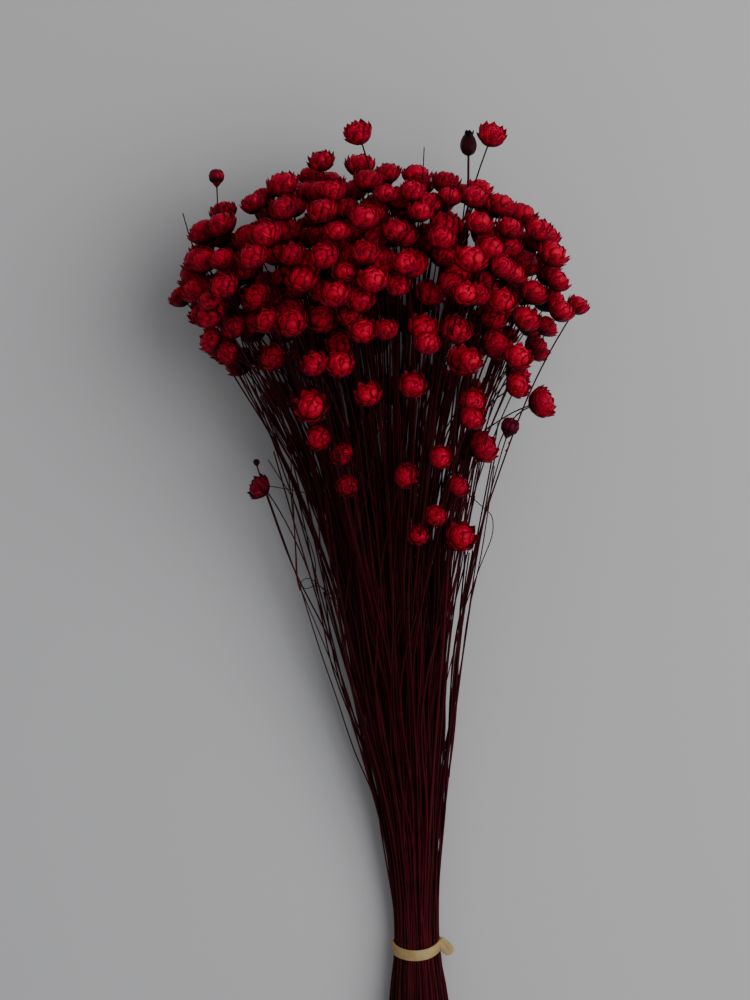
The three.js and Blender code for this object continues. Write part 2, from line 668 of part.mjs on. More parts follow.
// The bunch, moved so that the middle of its footprint is the origin.

const strays = strayStems();
const strands = strandsOfStems();
const bare = scatterBlooms(strands.flatMap((strand) => strand.stems), strays);
tradeBlooms(bare);
const stems = bare.map(withFreeBloom);
easeApart([...strays, ...stems]);
strands.forEach((strand, k) => {
  strand.stems = stems.slice(k * STRAND_STEMS, (k + 1) * STRAND_STEMS);
});

const bunch = new THREE.Group();
bunch.name = 'preserved_glixia';
bunch.add(...strands.map(strandMesh));
bunch.add(...strays.map(strayMesh));
bunch.add(await bandMesh());
const extent = new THREE.Box3().setFromObject(bunch);
bunch.position.set(-(extent.min.x + extent.max.x) / 2, -(extent.min.y + extent.max.y) / 2, -extent.min.z);

export default bunch;
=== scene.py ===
"""Preserved glixia: the looks of a tied bunch of dyed star flowers, built round its solids.

The solids give where each stem runs and where each bloom sits. Finer pieces of the same form
replace them: blooms of thin pointed bracts, round wiry stems, and a rubber band with its folded
tail. Lengths are in metres. +Y runs from the cut ends to the blooms, and +Z is up from the table.
"""

from __future__ import annotations

import logging
import math
from dataclasses import dataclass, field, replace
from enum import Enum
from typing import Sequence

import bpy
import numpy as np
from mathutils import Matrix


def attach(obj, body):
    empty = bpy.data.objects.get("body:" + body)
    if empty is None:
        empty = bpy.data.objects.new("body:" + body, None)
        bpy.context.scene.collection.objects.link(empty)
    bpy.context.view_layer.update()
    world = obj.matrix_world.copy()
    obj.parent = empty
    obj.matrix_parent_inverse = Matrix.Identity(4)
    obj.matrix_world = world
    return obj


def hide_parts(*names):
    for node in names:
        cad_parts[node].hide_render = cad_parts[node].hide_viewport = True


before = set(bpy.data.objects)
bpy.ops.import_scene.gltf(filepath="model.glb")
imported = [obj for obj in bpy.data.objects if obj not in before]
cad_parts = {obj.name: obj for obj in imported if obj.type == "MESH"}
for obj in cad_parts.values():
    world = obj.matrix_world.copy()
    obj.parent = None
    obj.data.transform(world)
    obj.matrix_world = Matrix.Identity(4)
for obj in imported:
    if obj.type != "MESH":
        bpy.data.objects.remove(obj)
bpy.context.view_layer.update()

LOG = logging.getLogger("glixia")
ROOT_BODY = "root"
SEED = 20
MM = 0.001
TURN = 2 * math.pi

Array = np.ndarray
Colour = tuple[float, float, float]

UP = np.array([0.0, 0.0, 1.0])
ALONG = np.array([0.0, 1.0, 0.0])
ACROSS = np.array([1.0, 0.0, 0.0])


class Slot(Enum):
    """The record's material slots."""

    FLOWER = "dyed_flower"
    DARK = "dark_flower"
    RUBBER = "band_rubber"


class Form(Enum):
    """What a stem carries."""

    OPEN = "open bloom"
    BUD = "closed bud"
    CAPSULE = "seed capsule"


FORM_OF_NODE = {
    "seed_capsule": Form.CAPSULE,
    "round_bud": Form.BUD,
    "closed_bloom": Form.BUD,
    "tiny_bud": Form.BUD,
}
BAND_NODE = "rubber_band"
STRAIGHT_NODES = ("left_star", "tiny_bud")  # their stems leave the heads in a straight line

# Heights of a solid bloom's rings and of its middle, in bloom radii above the bloom's centre.
RING_HEIGHTS = {
    Form.OPEN: ((-0.48, 0.32, 0.1, 0.74), 0.4),
    Form.BUD: ((-0.6, -0.05, 0.55, 0.86), 0.74),
    Form.CAPSULE: ((-0.6, -0.1, 0.4, 0.66, 0.9), 0.78),
}
NECK_HEIGHT = -0.82
NECK_CORNERS = 3
LEAST_BLOOM_CORNERS = 20
LONG_EDGE = 20 * MM  # stems and strands have longer edges than this, blooms and rings shorter
PRESS_HEIGHT = 1.5 * MM
NOD = 0.32  # how far the strands' heads turn about their middles towards the way of the bunch
LOW_HEADS = 175 * MM  # at this way along from the band heads are darkest, by painted shade
HIGH_HEADS = 275 * MM  # and from here on they are lightest, with no painted shade
LOW_PAINTED_SHADES = (0.0, 0.5)  # least and greatest shade of the lowest heads, darkened by painted shade
HIGH_SHADES = (0.4, 1.0)  # and of the high ones
NEARLY_ALONG = 0.9  # cosine over which a direction is too near another to square to it
BAND_FLAT = 0.1 * MM  # corners this near the band's top or bottom lie on it


# Small vector tools


def unit(vectors: Array) -> Array:
    """Vectors scaled to length one along their last axis.

    Args:
        vectors: Any array whose last axis holds x, y and z.

    Returns:
        The same array with each vector divided by its length.
    """
    return vectors / np.maximum(np.linalg.norm(vectors, axis=-1, keepdims=True), 1e-12)


def square_to(axis: Array, wanted: Array) -> tuple[Array, Array]:
    """Two directions square to an axis and to each other.

    The first is wanted less its share along axis: w - (w . a) a. The second is a x first.

    Args:
        axis: Unit vectors, shape (..., 3).
        wanted: Directions that the first result lies as near to as it can.

    Returns:
        The first and the second direction, both of length one.
    """
    wanted = np.broadcast_to(wanted, axis.shape)
    first = unit(wanted - (wanted * axis).sum(-1, keepdims=True) * axis)
    return first, np.cross(axis, first)


def mix(a: Array | float, b: Array | float, share: Array | float) -> Array | float:
    """The value a share of the way from a to b."""
    return a + (b - a) * share


def hermite(u: Array, starts: Array, leaving: Array, stops: Array, arriving: Array) -> Array:
    """A cubic Hermite curve: places at the shares u of the way from starts to stops.

    Args:
        u: Shares of the way, from 0 to 1.
        starts: Places at u = 0.
        leaving: Slopes there, times the length of the stretch.
        stops: Places at u = 1.
        arriving: Slopes there, times the length of the stretch.

    Returns:
        The places.
    """
    return (
        (2 * u**3 - 3 * u**2 + 1) * starts
        + (u**3 - 2 * u**2 + u) * leaving
        + (3 * u**2 - 2 * u**3) * stops
        + (u**3 - u**2) * arriving
    )


def above_table(points: Array) -> Array:
    """Points with those near the table pressed up from it, so that none lies below.

    Under the height p the new height is p exp((z - p) / p), which meets z = p with slope 1.

    Args:
        points: Places in the frame, shape (n, 3).

    Returns:
        The places, all at or above z = 0.
    """
    height = points[:, 2]
    pressed = PRESS_HEIGHT * np.exp(np.minimum(0, height / PRESS_HEIGHT - 1))
    return np.column_stack([points[:, :2], np.where(height < PRESS_HEIGHT, pressed, height)])


# Places read from the solids


@dataclass(frozen=True)
class Stem:
    """One stem as its solid gives it: its places from the cut end to the neck, and its bloom."""

    places: Array
    centre: Array
    axis: Array
    radius: float


@dataclass
class SolidReader:
    """Reads where the stems and blooms of one solid are from its corners and edges."""

    node: str
    form: Form = field(init=False)
    corners: Array = field(init=False)
    edges: Array = field(init=False)
    group: Array = field(init=False)

    def __post_init__(self) -> None:
        """Merges the solid's loose corners and groups those that short edges join."""
        self.form = FORM_OF_NODE.get(self.node, Form.OPEN)
        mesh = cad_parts[self.node].data
        places = np.empty(len(mesh.vertices) * 3, np.float32)
        mesh.vertices.foreach_get("co", places)
        pairs = np.empty(len(mesh.edges) * 2, np.int32)
        mesh.edges.foreach_get("vertices", pairs)
        rounded = np.round(places.reshape(-1, 3).astype(float), 6)
        self.corners, number = np.unique(rounded, axis=0, return_inverse=True)
        ends = np.sort(number.reshape(-1)[pairs.reshape(-1, 2)], axis=1)
        self.edges = np.unique(ends[ends[:, 0] != ends[:, 1]], axis=0)
        self.group = self._grouped(self.edges[self._lengths() < LONG_EDGE])

    def _lengths(self) -> Array:
        """The length of each edge."""
        ends = self.corners[self.edges]
        return np.linalg.norm(ends[:, 0] - ends[:, 1], axis=1)

    def _grouped(self, edges: Array) -> Array:
        """The lowest corner number that each corner is joined to by some of the edges."""
        group = np.arange(len(self.corners))
        before = None
        while before is None or (group != before).any():
            before = group.copy()
            lowest = np.minimum(group[edges[:, 0]], group[edges[:, 1]])
            np.minimum.at(group, edges[:, 0], lowest)
            np.minimum.at(group, edges[:, 1], lowest)
        return group

    def _beyond(self, members: Array) -> tuple[Array, Array]:
        """The ends of the long edges that leave a set of corners.

        Args:
            members: One truth value for each corner.

        Returns:
            The corners inside the set, and those outside it, that such edges join.
        """
        long_edges = self.edges[self._lengths() >= LONG_EDGE]
        inside = members[long_edges]
        leaving = long_edges[inside[:, 0] != inside[:, 1]]
        ends = np.unique(leaving)
        return ends[members[ends]], ends[~members[ends]]

    def stems(self) -> list[Stem]:
        """Every stem of the solid, with its bloom.

        A bloom's middle lies on its axis, so the way from its neck to the mean of its corners
        is the axis, and that distance over the same one for a bloom of radius 1 is its radius.

        Returns:
            One stem for each group of corners that is large enough to be a bloom.
        """
        names, sizes = np.unique(self.group, return_counts=True)
        return [self._stem(name) for name in names[sizes >= LEAST_BLOOM_CORNERS]]

    def _stem(self, name: int) -> Stem:
        """The stem that ends in one group of corners."""
        bloom = self.group == name
        neck_corners, arch_corners = self._beyond(bloom)
        neck = self.corners[neck_corners].mean(0)
        lean = self.corners[bloom].mean(0) - neck
        radius = float(np.linalg.norm(lean)) / self._mean_height(int(bloom.sum()))
        axis = unit(lean)
        arch = np.isin(np.arange(len(self.corners)), arch_corners)
        both_ends = self._beyond(arch)[1]
        parting = both_ends[~bloom[both_ends]]
        centre = neck - NECK_HEIGHT * radius * axis
        turned = unit(axis + NOD * ALONG) if self.node.startswith("strand") else axis
        neck = centre + NECK_HEIGHT * radius * turned
        places = self._lower_places(parting) + [self.corners[arch].mean(0), neck]
        return Stem(np.array(places), centre, turned, radius)

    def _mean_height(self, count: int) -> float:
        """How high the mean of a bloom's corners lies over its neck, on a bloom of radius 1."""
        heights, middle = RING_HEIGHTS[self.form]
        round_each = (count - NECK_CORNERS - 1) / len(heights)
        total = round_each * sum(heights) + middle + NECK_CORNERS * NECK_HEIGHT
        return total / count - NECK_HEIGHT

    def _lower_places(self, parting: Array) -> list[Array]:
        """A stem's places at the cut end, at the band and where its strand parts.

        The strand keeps its form in section, so the stem's offset from the strand's middle
        grows and shrinks with the spread of the strand's own corners.

        Args:
            parting: The corners of the stem's own lobe where the strand parts.

        Returns:
            The three places, lowest first.
        """
        part_name = self.group[parting[0]]
        names = np.unique(self.group)
        rings = {name: self.corners[self.group == name] for name in names}
        part_ring = rings[part_name]
        below = [r for r in rings.values() if r[:, 1].mean() < part_ring[:, 1].mean() - LONG_EDGE]
        below.sort(key=lambda corners: corners[:, 1].mean())
        place = self.corners[parting].mean(0)
        offset = place - part_ring.mean(0)
        spread = np.maximum(part_ring.std(0), 1e-9)
        lower = [ring.mean(0) + offset * ring.std(0) / spread * [1, 0, 1] for ring in below]
        return [*lower, place]


def band_middle() -> Array:
    """The middle of the tied bundle, on the table: where the band's widest sides meet."""
    places = np.empty(len(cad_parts[BAND_NODE].data.vertices) * 3, np.float32)
    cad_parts[BAND_NODE].data.vertices.foreach_get("co", places)
    places = places.reshape(-1, 3).astype(float)
    low, high = places.min(0), places.max(0)
    top = places[places[:, 2] > high[2] - BAND_FLAT]
    bottom = places[places[:, 2] < low[2] + BAND_FLAT]
    ends = np.array([[part.min(0), part.max(0)] for part in (top, bottom)]).mean((0, 1))
    return np.array([ends[0], ends[1], low[2]])


# Surfaces


@dataclass
class Surface:
    """Corners and faces of a piece, with what its finish reads from each corner."""

    points: Array
    quads: Array
    triangles: Array
    tone: Array
    grid: Array

    @staticmethod
    def joined(parts: Sequence[Surface]) -> Surface:
        """Several surfaces as one."""
        starts = np.cumsum([0] + [len(part.points) for part in parts[:-1]])
        return Surface(
            np.concatenate([part.points for part in parts]),
            np.concatenate([part.quads + start for part, start in zip(parts, starts)]),
            np.concatenate([part.triangles + start for part, start in zip(parts, starts)]),
            np.concatenate([part.tone for part in parts]),
            np.concatenate([part.grid for part in parts]),
        )

    def piece(
        self, name: str, material: bpy.types.Material, pressed: bool = True
    ) -> bpy.types.Object:
        """The surface as a smooth mesh object at the world's origin.

        Args:
            name: The object's name.
            material: Its finish.
            pressed: Whether the table presses it up, as it does to what lies on it.

        Returns:
            The new object, with its tone attribute and its UV map.
        """
        mesh = bpy.data.meshes.new(name)
        faces = self.quads.tolist() + self.triangles.tolist()
        points = above_table(self.points) if pressed else self.points
        mesh.from_pydata(points.tolist(), [], faces)
        mesh.polygons.foreach_set("use_smooth", np.ones(len(mesh.polygons), bool))
        tone = mesh.attributes.new("tone", "FLOAT_COLOR", "POINT")
        tone.data.foreach_set("color", self.tone.astype(np.float32).ravel())
        corner_of_loop = np.empty(len(mesh.loops), np.int32)
        mesh.loops.foreach_get("vertex_index", corner_of_loop)
        layer = mesh.uv_layers.new(name="grid")
        layer.data.foreach_set("uv", self.grid[corner_of_loop].astype(np.float32).ravel())
        mesh.materials.append(material)
        mesh.validate()
        piece = bpy.data.objects.new(name, mesh)
        bpy.context.scene.collection.objects.link(piece)
        return piece


def tube_faces(rings: int, sides: int) -> tuple[Array, Array]:
    """Faces of a closed tube whose corners are numbered ring by ring, with its tip last.

    Quads join each ring to the next, triangles join the last ring to the tip, and a fan of
    triangles fills the first ring. All face outwards where a ring's corners run left about the
    way of the tube.

    Args:
        rings: How many rings the tube has.
        sides: How many corners each ring has.

    Returns:
        The quads and the triangles, as corner numbers.
    """
    ring, side = np.meshgrid(np.arange(rings - 1), np.arange(sides), indexing="ij")
    start, after = ring * sides, (side + 1) % sides
    around = [start + side, start + after, start + sides + after, start + sides + side]
    quads = np.stack(around, axis=-1).reshape(-1, 4)
    side = np.arange(sides)
    last = (rings - 1) * sides
    tip = np.full(sides, rings * sides)
    closing = np.stack([last + side, last + (side + 1) % sides, tip], axis=-1)
    spoke = np.arange(1, sides - 1)
    fan = np.stack([np.zeros_like(spoke), spoke + 1, spoke], axis=-1)
    return quads, np.concatenate([closing, fan])


def tubes(rings: Array, tips: Array, tone: Array, tip_tone: Array) -> Surface:
    """Closed tubes from their rings and tips.

    Args:
        rings: Places of the ring corners, shape (tubes, rings, sides, 3).
        tips: Places of the tips, shape (tubes, 3).
        tone: Tone of the ring corners, shape (tubes, rings, sides, 4).
        tip_tone: Tone of the tips, shape (tubes, 4).

    Returns:
        One surface. Its grid runs from 0 to 1 round each ring and along each tube.
    """
    count, length, sides = rings.shape[:3]
    points = np.concatenate([rings.reshape(count, -1, 3), tips[:, None]], axis=1)
    every_tone = np.concatenate([tone.reshape(count, -1, 4), tip_tone[:, None]], axis=1)
    along, around = np.meshgrid(np.linspace(0, 1, length), np.arange(sides) / sides, indexing="ij")
    grid = np.append(np.stack([around, along], axis=-1).reshape(-1, 2), [[0.5, 1.0]], axis=0)
    quads, triangles = tube_faces(length, sides)
    starts = np.arange(count)[:, None, None] * points.shape[1]
    return Surface(
        points.reshape(-1, 3),
        (quads + starts).reshape(-1, 4),
        (triangles + starts).reshape(-1, 3),
        every_tone.reshape(-1, 4),
        np.tile(grid, (count, 1)),
    )


def tones(shape: tuple[int, ...], *channels: Array | float) -> Array:
    """Four channels of tone, each spread over a shape."""
    return np.stack([np.broadcast_to(channel, shape) for channel in channels], axis=-1)


# Blooms


@dataclass
class Heads:
    """The blooms of one piece as arrays, one row for each bloom."""

    centre: Array
    axis: Array
    side: Array
    over: Array
    radius: Array
    opening: Array
    shade: Array

    @staticmethod
    def of(stems: Sequence[Stem], swell: float, rng: np.random.Generator) -> Heads:
        """The blooms that some stems carry, each with its own spin, opening and shade.

        The shade is drawn from a darker range for the lowest heads and from a lighter one for high
        ones, with an even change between the two: each head's own random tone, with painted shade on
        the low heads.

        Args:
            stems: The stems.
            swell: How much larger the fine blooms are than the solid ones.
            rng: The source of the draws.

        Returns:
            The blooms.
        """
        axis = np.array([stem.axis for stem in stems])
        spare = np.where(np.abs(axis @ UP)[:, None] > NEARLY_ALONG, ACROSS, UP)
        first, second = square_to(axis, spare)
        spin = rng.uniform(0, TURN, len(stems))[:, None]
        opening, draw = rng.uniform(0, 1, (2, len(stems)))
        along = np.array([stem.centre[1] - stem.places[1, 1] for stem in stems])
        # Low heads get painted shade and high heads none. The draw is each head's own random tone.
        high = np.clip((along - LOW_HEADS) / (HIGH_HEADS - LOW_HEADS), 0, 1)
        return Heads(
            centre=np.array([stem.centre for stem in stems]),
            axis=axis,
            side=np.cos(spin) * first + np.sin(spin) * second,
            over=np.cos(spin) * second - np.sin(spin) * first,
            radius=swell * np.array([stem.radius for stem in stems]),
            opening=opening,
            shade=mix(mix(*LOW_PAINTED_SHADES, draw), mix(*HIGH_SHADES, draw), high),
        )

    def place(self, local: Array) -> Array:
        """Points given in bloom radii along side, over and axis, as places in the frame.

        Args:
            local: Shape (blooms, ..., 3).

        Returns:
            The places, of the same shape.
        """
        spare = (slice(None),) + (None,) * (local.ndim - 2)
        turned = (
            local[..., 0:1] * self.side[spare]
            + local[..., 1:2] * self.over[spare]
            + local[..., 2:3] * self.axis[spare]
        )
        return self.centre[spare] + self.radius[spare][..., None] * turned


@dataclass(frozen=True)
class Whorl:
    """One ring of bracts. Angles are in half turns from the neck, lengths in bloom radii."""

    count: int
    root: float
    reach: float
    girth: float
    tip: float
    breadth: float
    level: float
    cup: float = 0.8
    spread: float = 0.0
    splay: float = 0.0
    flare: float = 3.0
    jitter: float = 0.025
    columns: int = 5
    rows: int = 4
    turn: float = 0.0

    THICKNESS = 0.028
    WIDEST = 0.55
    FOOT_WIDTH = 0.45
    TAPER = 1.9
    BLUNTNESS = 0.85
    CROWDING = 0.85
    ASKEW = 0.18
    BEND = 0.08
    BREADTH_SPREAD = 0.06

    def surface(self, heads: Heads, rng: np.random.Generator) -> Surface:
        """The bracts of this whorl on every bloom, as closed leaves with a lens section.

        A bract's midline lies at the angle f(t) = root + (reach - root) t from the neck, and at
        the distance r(t) = girth + (tip - girth) t^flare from the bloom's centre. Across, it
        reaches s h(t) sideways and dips by cup s^2 h(t) towards the inside, for s from -1 to 1.
        Its faces stand thickness (1 - s^2) off that surface. The more open a bloom is, the
        lower its tips lie, by spread, and the further out, by splay.

        Args:
            heads: The blooms.
            rng: The source of the small differences between bracts.

        Returns:
            One surface for all the bracts.
        """
        shape = (len(heads.radius), self.count, 1, 1)
        share = np.linspace(0, 1, self.rows + 1)[:-1] ** self.CROWDING
        t = np.append(share, 1.0)[None, None, :, None]
        s, lift = self._section()
        opening = heads.opening[:, None, None, None]
        reach = self.reach - self.spread * opening + rng.normal(0, self.jitter, shape)
        tip = self.tip + self.splay * opening + rng.normal(0, self.jitter, shape)
        azimuth = (np.arange(self.count)[None, :, None, None] + self.turn) / self.count
        azimuth = TURN * (azimuth + rng.uniform(-self.ASKEW, self.ASKEW, shape) / self.count)
        bend = rng.normal(0, self.BEND, shape)
        angle = math.pi * (self.root + (reach - self.root) * t)
        distance = self.girth + (tip - self.girth) * t**self.flare
        uneven = 1 + rng.normal(0, self.BREADTH_SPREAD, shape)
        half = self.breadth * self._outline(t) * uneven
        dip = self.cup * s**2 * half * 0.5 - lift * self.THICKNESS
        sideways = s * half + bend * t**2
        radial = np.sin(angle) * (distance - dip)
        local = np.stack(
            np.broadcast_arrays(
                radial * np.cos(azimuth) - sideways * np.sin(azimuth),
                radial * np.sin(azimuth) + sideways * np.cos(azimuth),
                -np.cos(angle) * (distance - dip),
            ),
            axis=-1,
        )
        return self._closed(heads, local, rng.uniform(0, 1, shape))

    def _section(self) -> tuple[Array, Array]:
        """Positions across a bract, once over its outer face and back over its inner face."""
        outer = np.linspace(-1, 1, self.columns)
        s = np.concatenate([outer, outer[-2:0:-1]])
        back = np.concatenate([np.ones(self.columns), -np.ones(self.columns - 2)])
        return s, back * (1 - s**2)

    def _outline(self, t: Array) -> Array:
        """Half a bract's width: it swells as a sine up to WIDEST, then draws in to its point."""
        rise = np.sin(0.5 * math.pi * np.minimum(1, t / self.WIDEST))
        swell = mix(self.FOOT_WIDTH, 1, rise)
        taper = np.clip((t - self.WIDEST) / (1 - self.WIDEST), 0, 1)
        return swell * (1 - taper**self.TAPER) ** self.BLUNTNESS

    def _closed(self, heads: Heads, local: Array, shade: Array) -> Surface:
        """The bracts' rings and tips as one surface, with their tones."""
        placed = heads.place(local)
        sides = placed.shape[3]
        rings = placed[:, :, :-1].reshape(-1, self.rows, sides, 3)
        tips = placed[:, :, -1].mean(2).reshape(-1, 3)
        head_shade = heads.shade[:, None, None, None]
        shape = (len(heads.radius), self.count, self.rows + 1, sides)
        tone = tones(shape, 0.5 + 0.5 * local[..., 2], self.level, head_shade, shade)
        ring_tone = tone[:, :, :-1].reshape(-1, self.rows, sides, 4)
        surface = tubes(rings, tips, ring_tone, tone[:, :, -1, 0].reshape(-1, 4))
        across = np.append(np.tile(0.5 + 0.5 * self._section()[0], self.rows), 0.5)
        surface.grid[:, 0] = np.tile(across, len(tips))
        return surface


@dataclass(frozen=True)
class Ball:
    """A closed body of revolution in the middle of a bloom, or a whole capsule."""

    profile: tuple[tuple[float, float], ...]
    sides: int
    level: float
    ripple: float = 0.0
    ripples: int = 0

    def surface(self, heads: Heads) -> Surface:
        """The body on every bloom: each (radius, height) of the profile is one ring.

        The radius swells and shrinks by ripple cos(ripples a) round the axis.

        Args:
            heads: The blooms. The last entry of the profile is the tip, on the axis.

        Returns:
            One surface for all the bodies.
        """
        profile = np.array(self.profile)
        turn = np.arange(self.sides) * TURN / self.sides
        radius = profile[:-1, :1] * (1 + self.ripple * np.cos(self.ripples * turn))
        local = np.stack(
            np.broadcast_arrays(radius * np.cos(turn), radius * np.sin(turn), profile[:-1, 1:]),
            axis=-1,
        )
        every = np.broadcast_to(local, (len(heads.radius), *local.shape))
        top = np.broadcast_to([[0.0, 0.0, profile[-1, 1]]], (len(heads.radius), 1, 3))
        rings = heads.place(every)
        tips = heads.place(top)[:, 0]
        height = 0.5 + 0.5 * profile[:, 1]
        shade = heads.shade[:, None, None]
        tone = tones(rings.shape[:3], height[None, :-1, None], self.level, shade, 0.5)
        tip_tone = tones(tips.shape[:1], height[-1], self.level, heads.shade, 0.5)
        return tubes(rings, tips, tone, tip_tone)


@dataclass(frozen=True)
class Bloom:
    """A flower head: its whorls of bracts round a ball that fills its middle."""

    whorls: tuple[Whorl, ...]
    ball: Ball
    swell: float = 1.09

    def surface(self, stems: Sequence[Stem], rng: np.random.Generator) -> Surface:
        """The blooms of some stems as one surface."""
        heads = Heads.of(stems, self.swell, rng)
        parts = [whorl.surface(heads, rng) for whorl in self.whorls]
        return Surface.joined([*parts, self.ball.surface(heads)])


CORE = Ball(
    profile=((0.16, -0.8), (0.46, -0.62), (0.62, -0.25), (0.58, 0.15), (0.36, 0.48), (0.0, 0.6)),
    sides=8,
    level=1.0,
)
OPEN_BLOOM = Bloom(
    whorls=(
        Whorl(7, 0.07, 0.4, 0.84, 0.9, 0.34, 0.0, columns=3, rows=3, flare=1.5),
        Whorl(8, 0.1, 0.57, 0.85, 1.09, 0.36, 0.1, spread=0.05, splay=0.07, jitter=0.04, flare=2.4),
        Whorl(9, 0.15, 0.67, 0.86, 1.12, 0.38, 0.3, spread=0.12, splay=0.09, flare=2.4, turn=0.3),
        Whorl(8, 0.24, 0.76, 0.84, 1.02, 0.42, 0.55, spread=0.16, splay=0.14, flare=2.3, turn=0.8),
        Whorl(6, 0.4, 0.87, 0.76, 0.78, 0.46, 0.85, cup=0.45, spread=0.06, flare=1.5, turn=0.25),
        Whorl(5, 0.5, 0.98, 0.69, 0.69, 0.48, 1.0, cup=0.35, spread=0.03, flare=1.0, turn=0.6),
    ),
    ball=CORE,
)
CLOSED_BUD = Bloom(
    whorls=(
        Whorl(6, 0.08, 0.46, 0.86, 0.93, 0.3, 0.0, columns=3, rows=4, jitter=0.04, flare=1.0),
        Whorl(7, 0.1, 0.86, 0.86, 0.93, 0.46, 0.1, flare=0.8, jitter=0.02),
        Whorl(5, 0.26, 0.97, 0.88, 0.86, 0.56, 0.3, flare=1.0, jitter=0.02, turn=0.4),
    ),
    ball=replace(
        CORE,
        profile=(
            (0.1, -1.24), (0.3, -1.0), (0.6, -0.62), (0.84, -0.05), (0.78, 0.36), (0.42, 0.74),
            (0.0, 0.86),
        ),
    ),
    swell=1.08,
)
SEED_CAPSULE = Bloom(
    whorls=(
        Whorl(5, 0.86, 0.925, 0.6, 1.22, 0.19, 0.9, cup=0.2, columns=3, rows=4, flare=1.0),
        Whorl(6, 0.06, 0.24, 0.8, 0.8, 0.2, 0.2, columns=3, rows=3, flare=1.0),
    ),
    ball=Ball(
        profile=(
            (0.16, -0.86), (0.32, -0.78), (0.48, -0.64), (0.6, -0.42), (0.66, -0.16),
            (0.65, 0.1), (0.59, 0.34), (0.5, 0.56), (0.38, 0.74), (0.26, 0.84), (0.0, 0.8),
        ),
        sides=24,
        level=0.5,
        ripple=0.02,
        ripples=6,
    ),
    swell=1.0,
)
BLOOM_OF_FORM = {
    Form.OPEN: OPEN_BLOOM,
    Form.BUD: CLOSED_BUD,
    Form.CAPSULE: SEED_CAPSULE,
}


# Stems


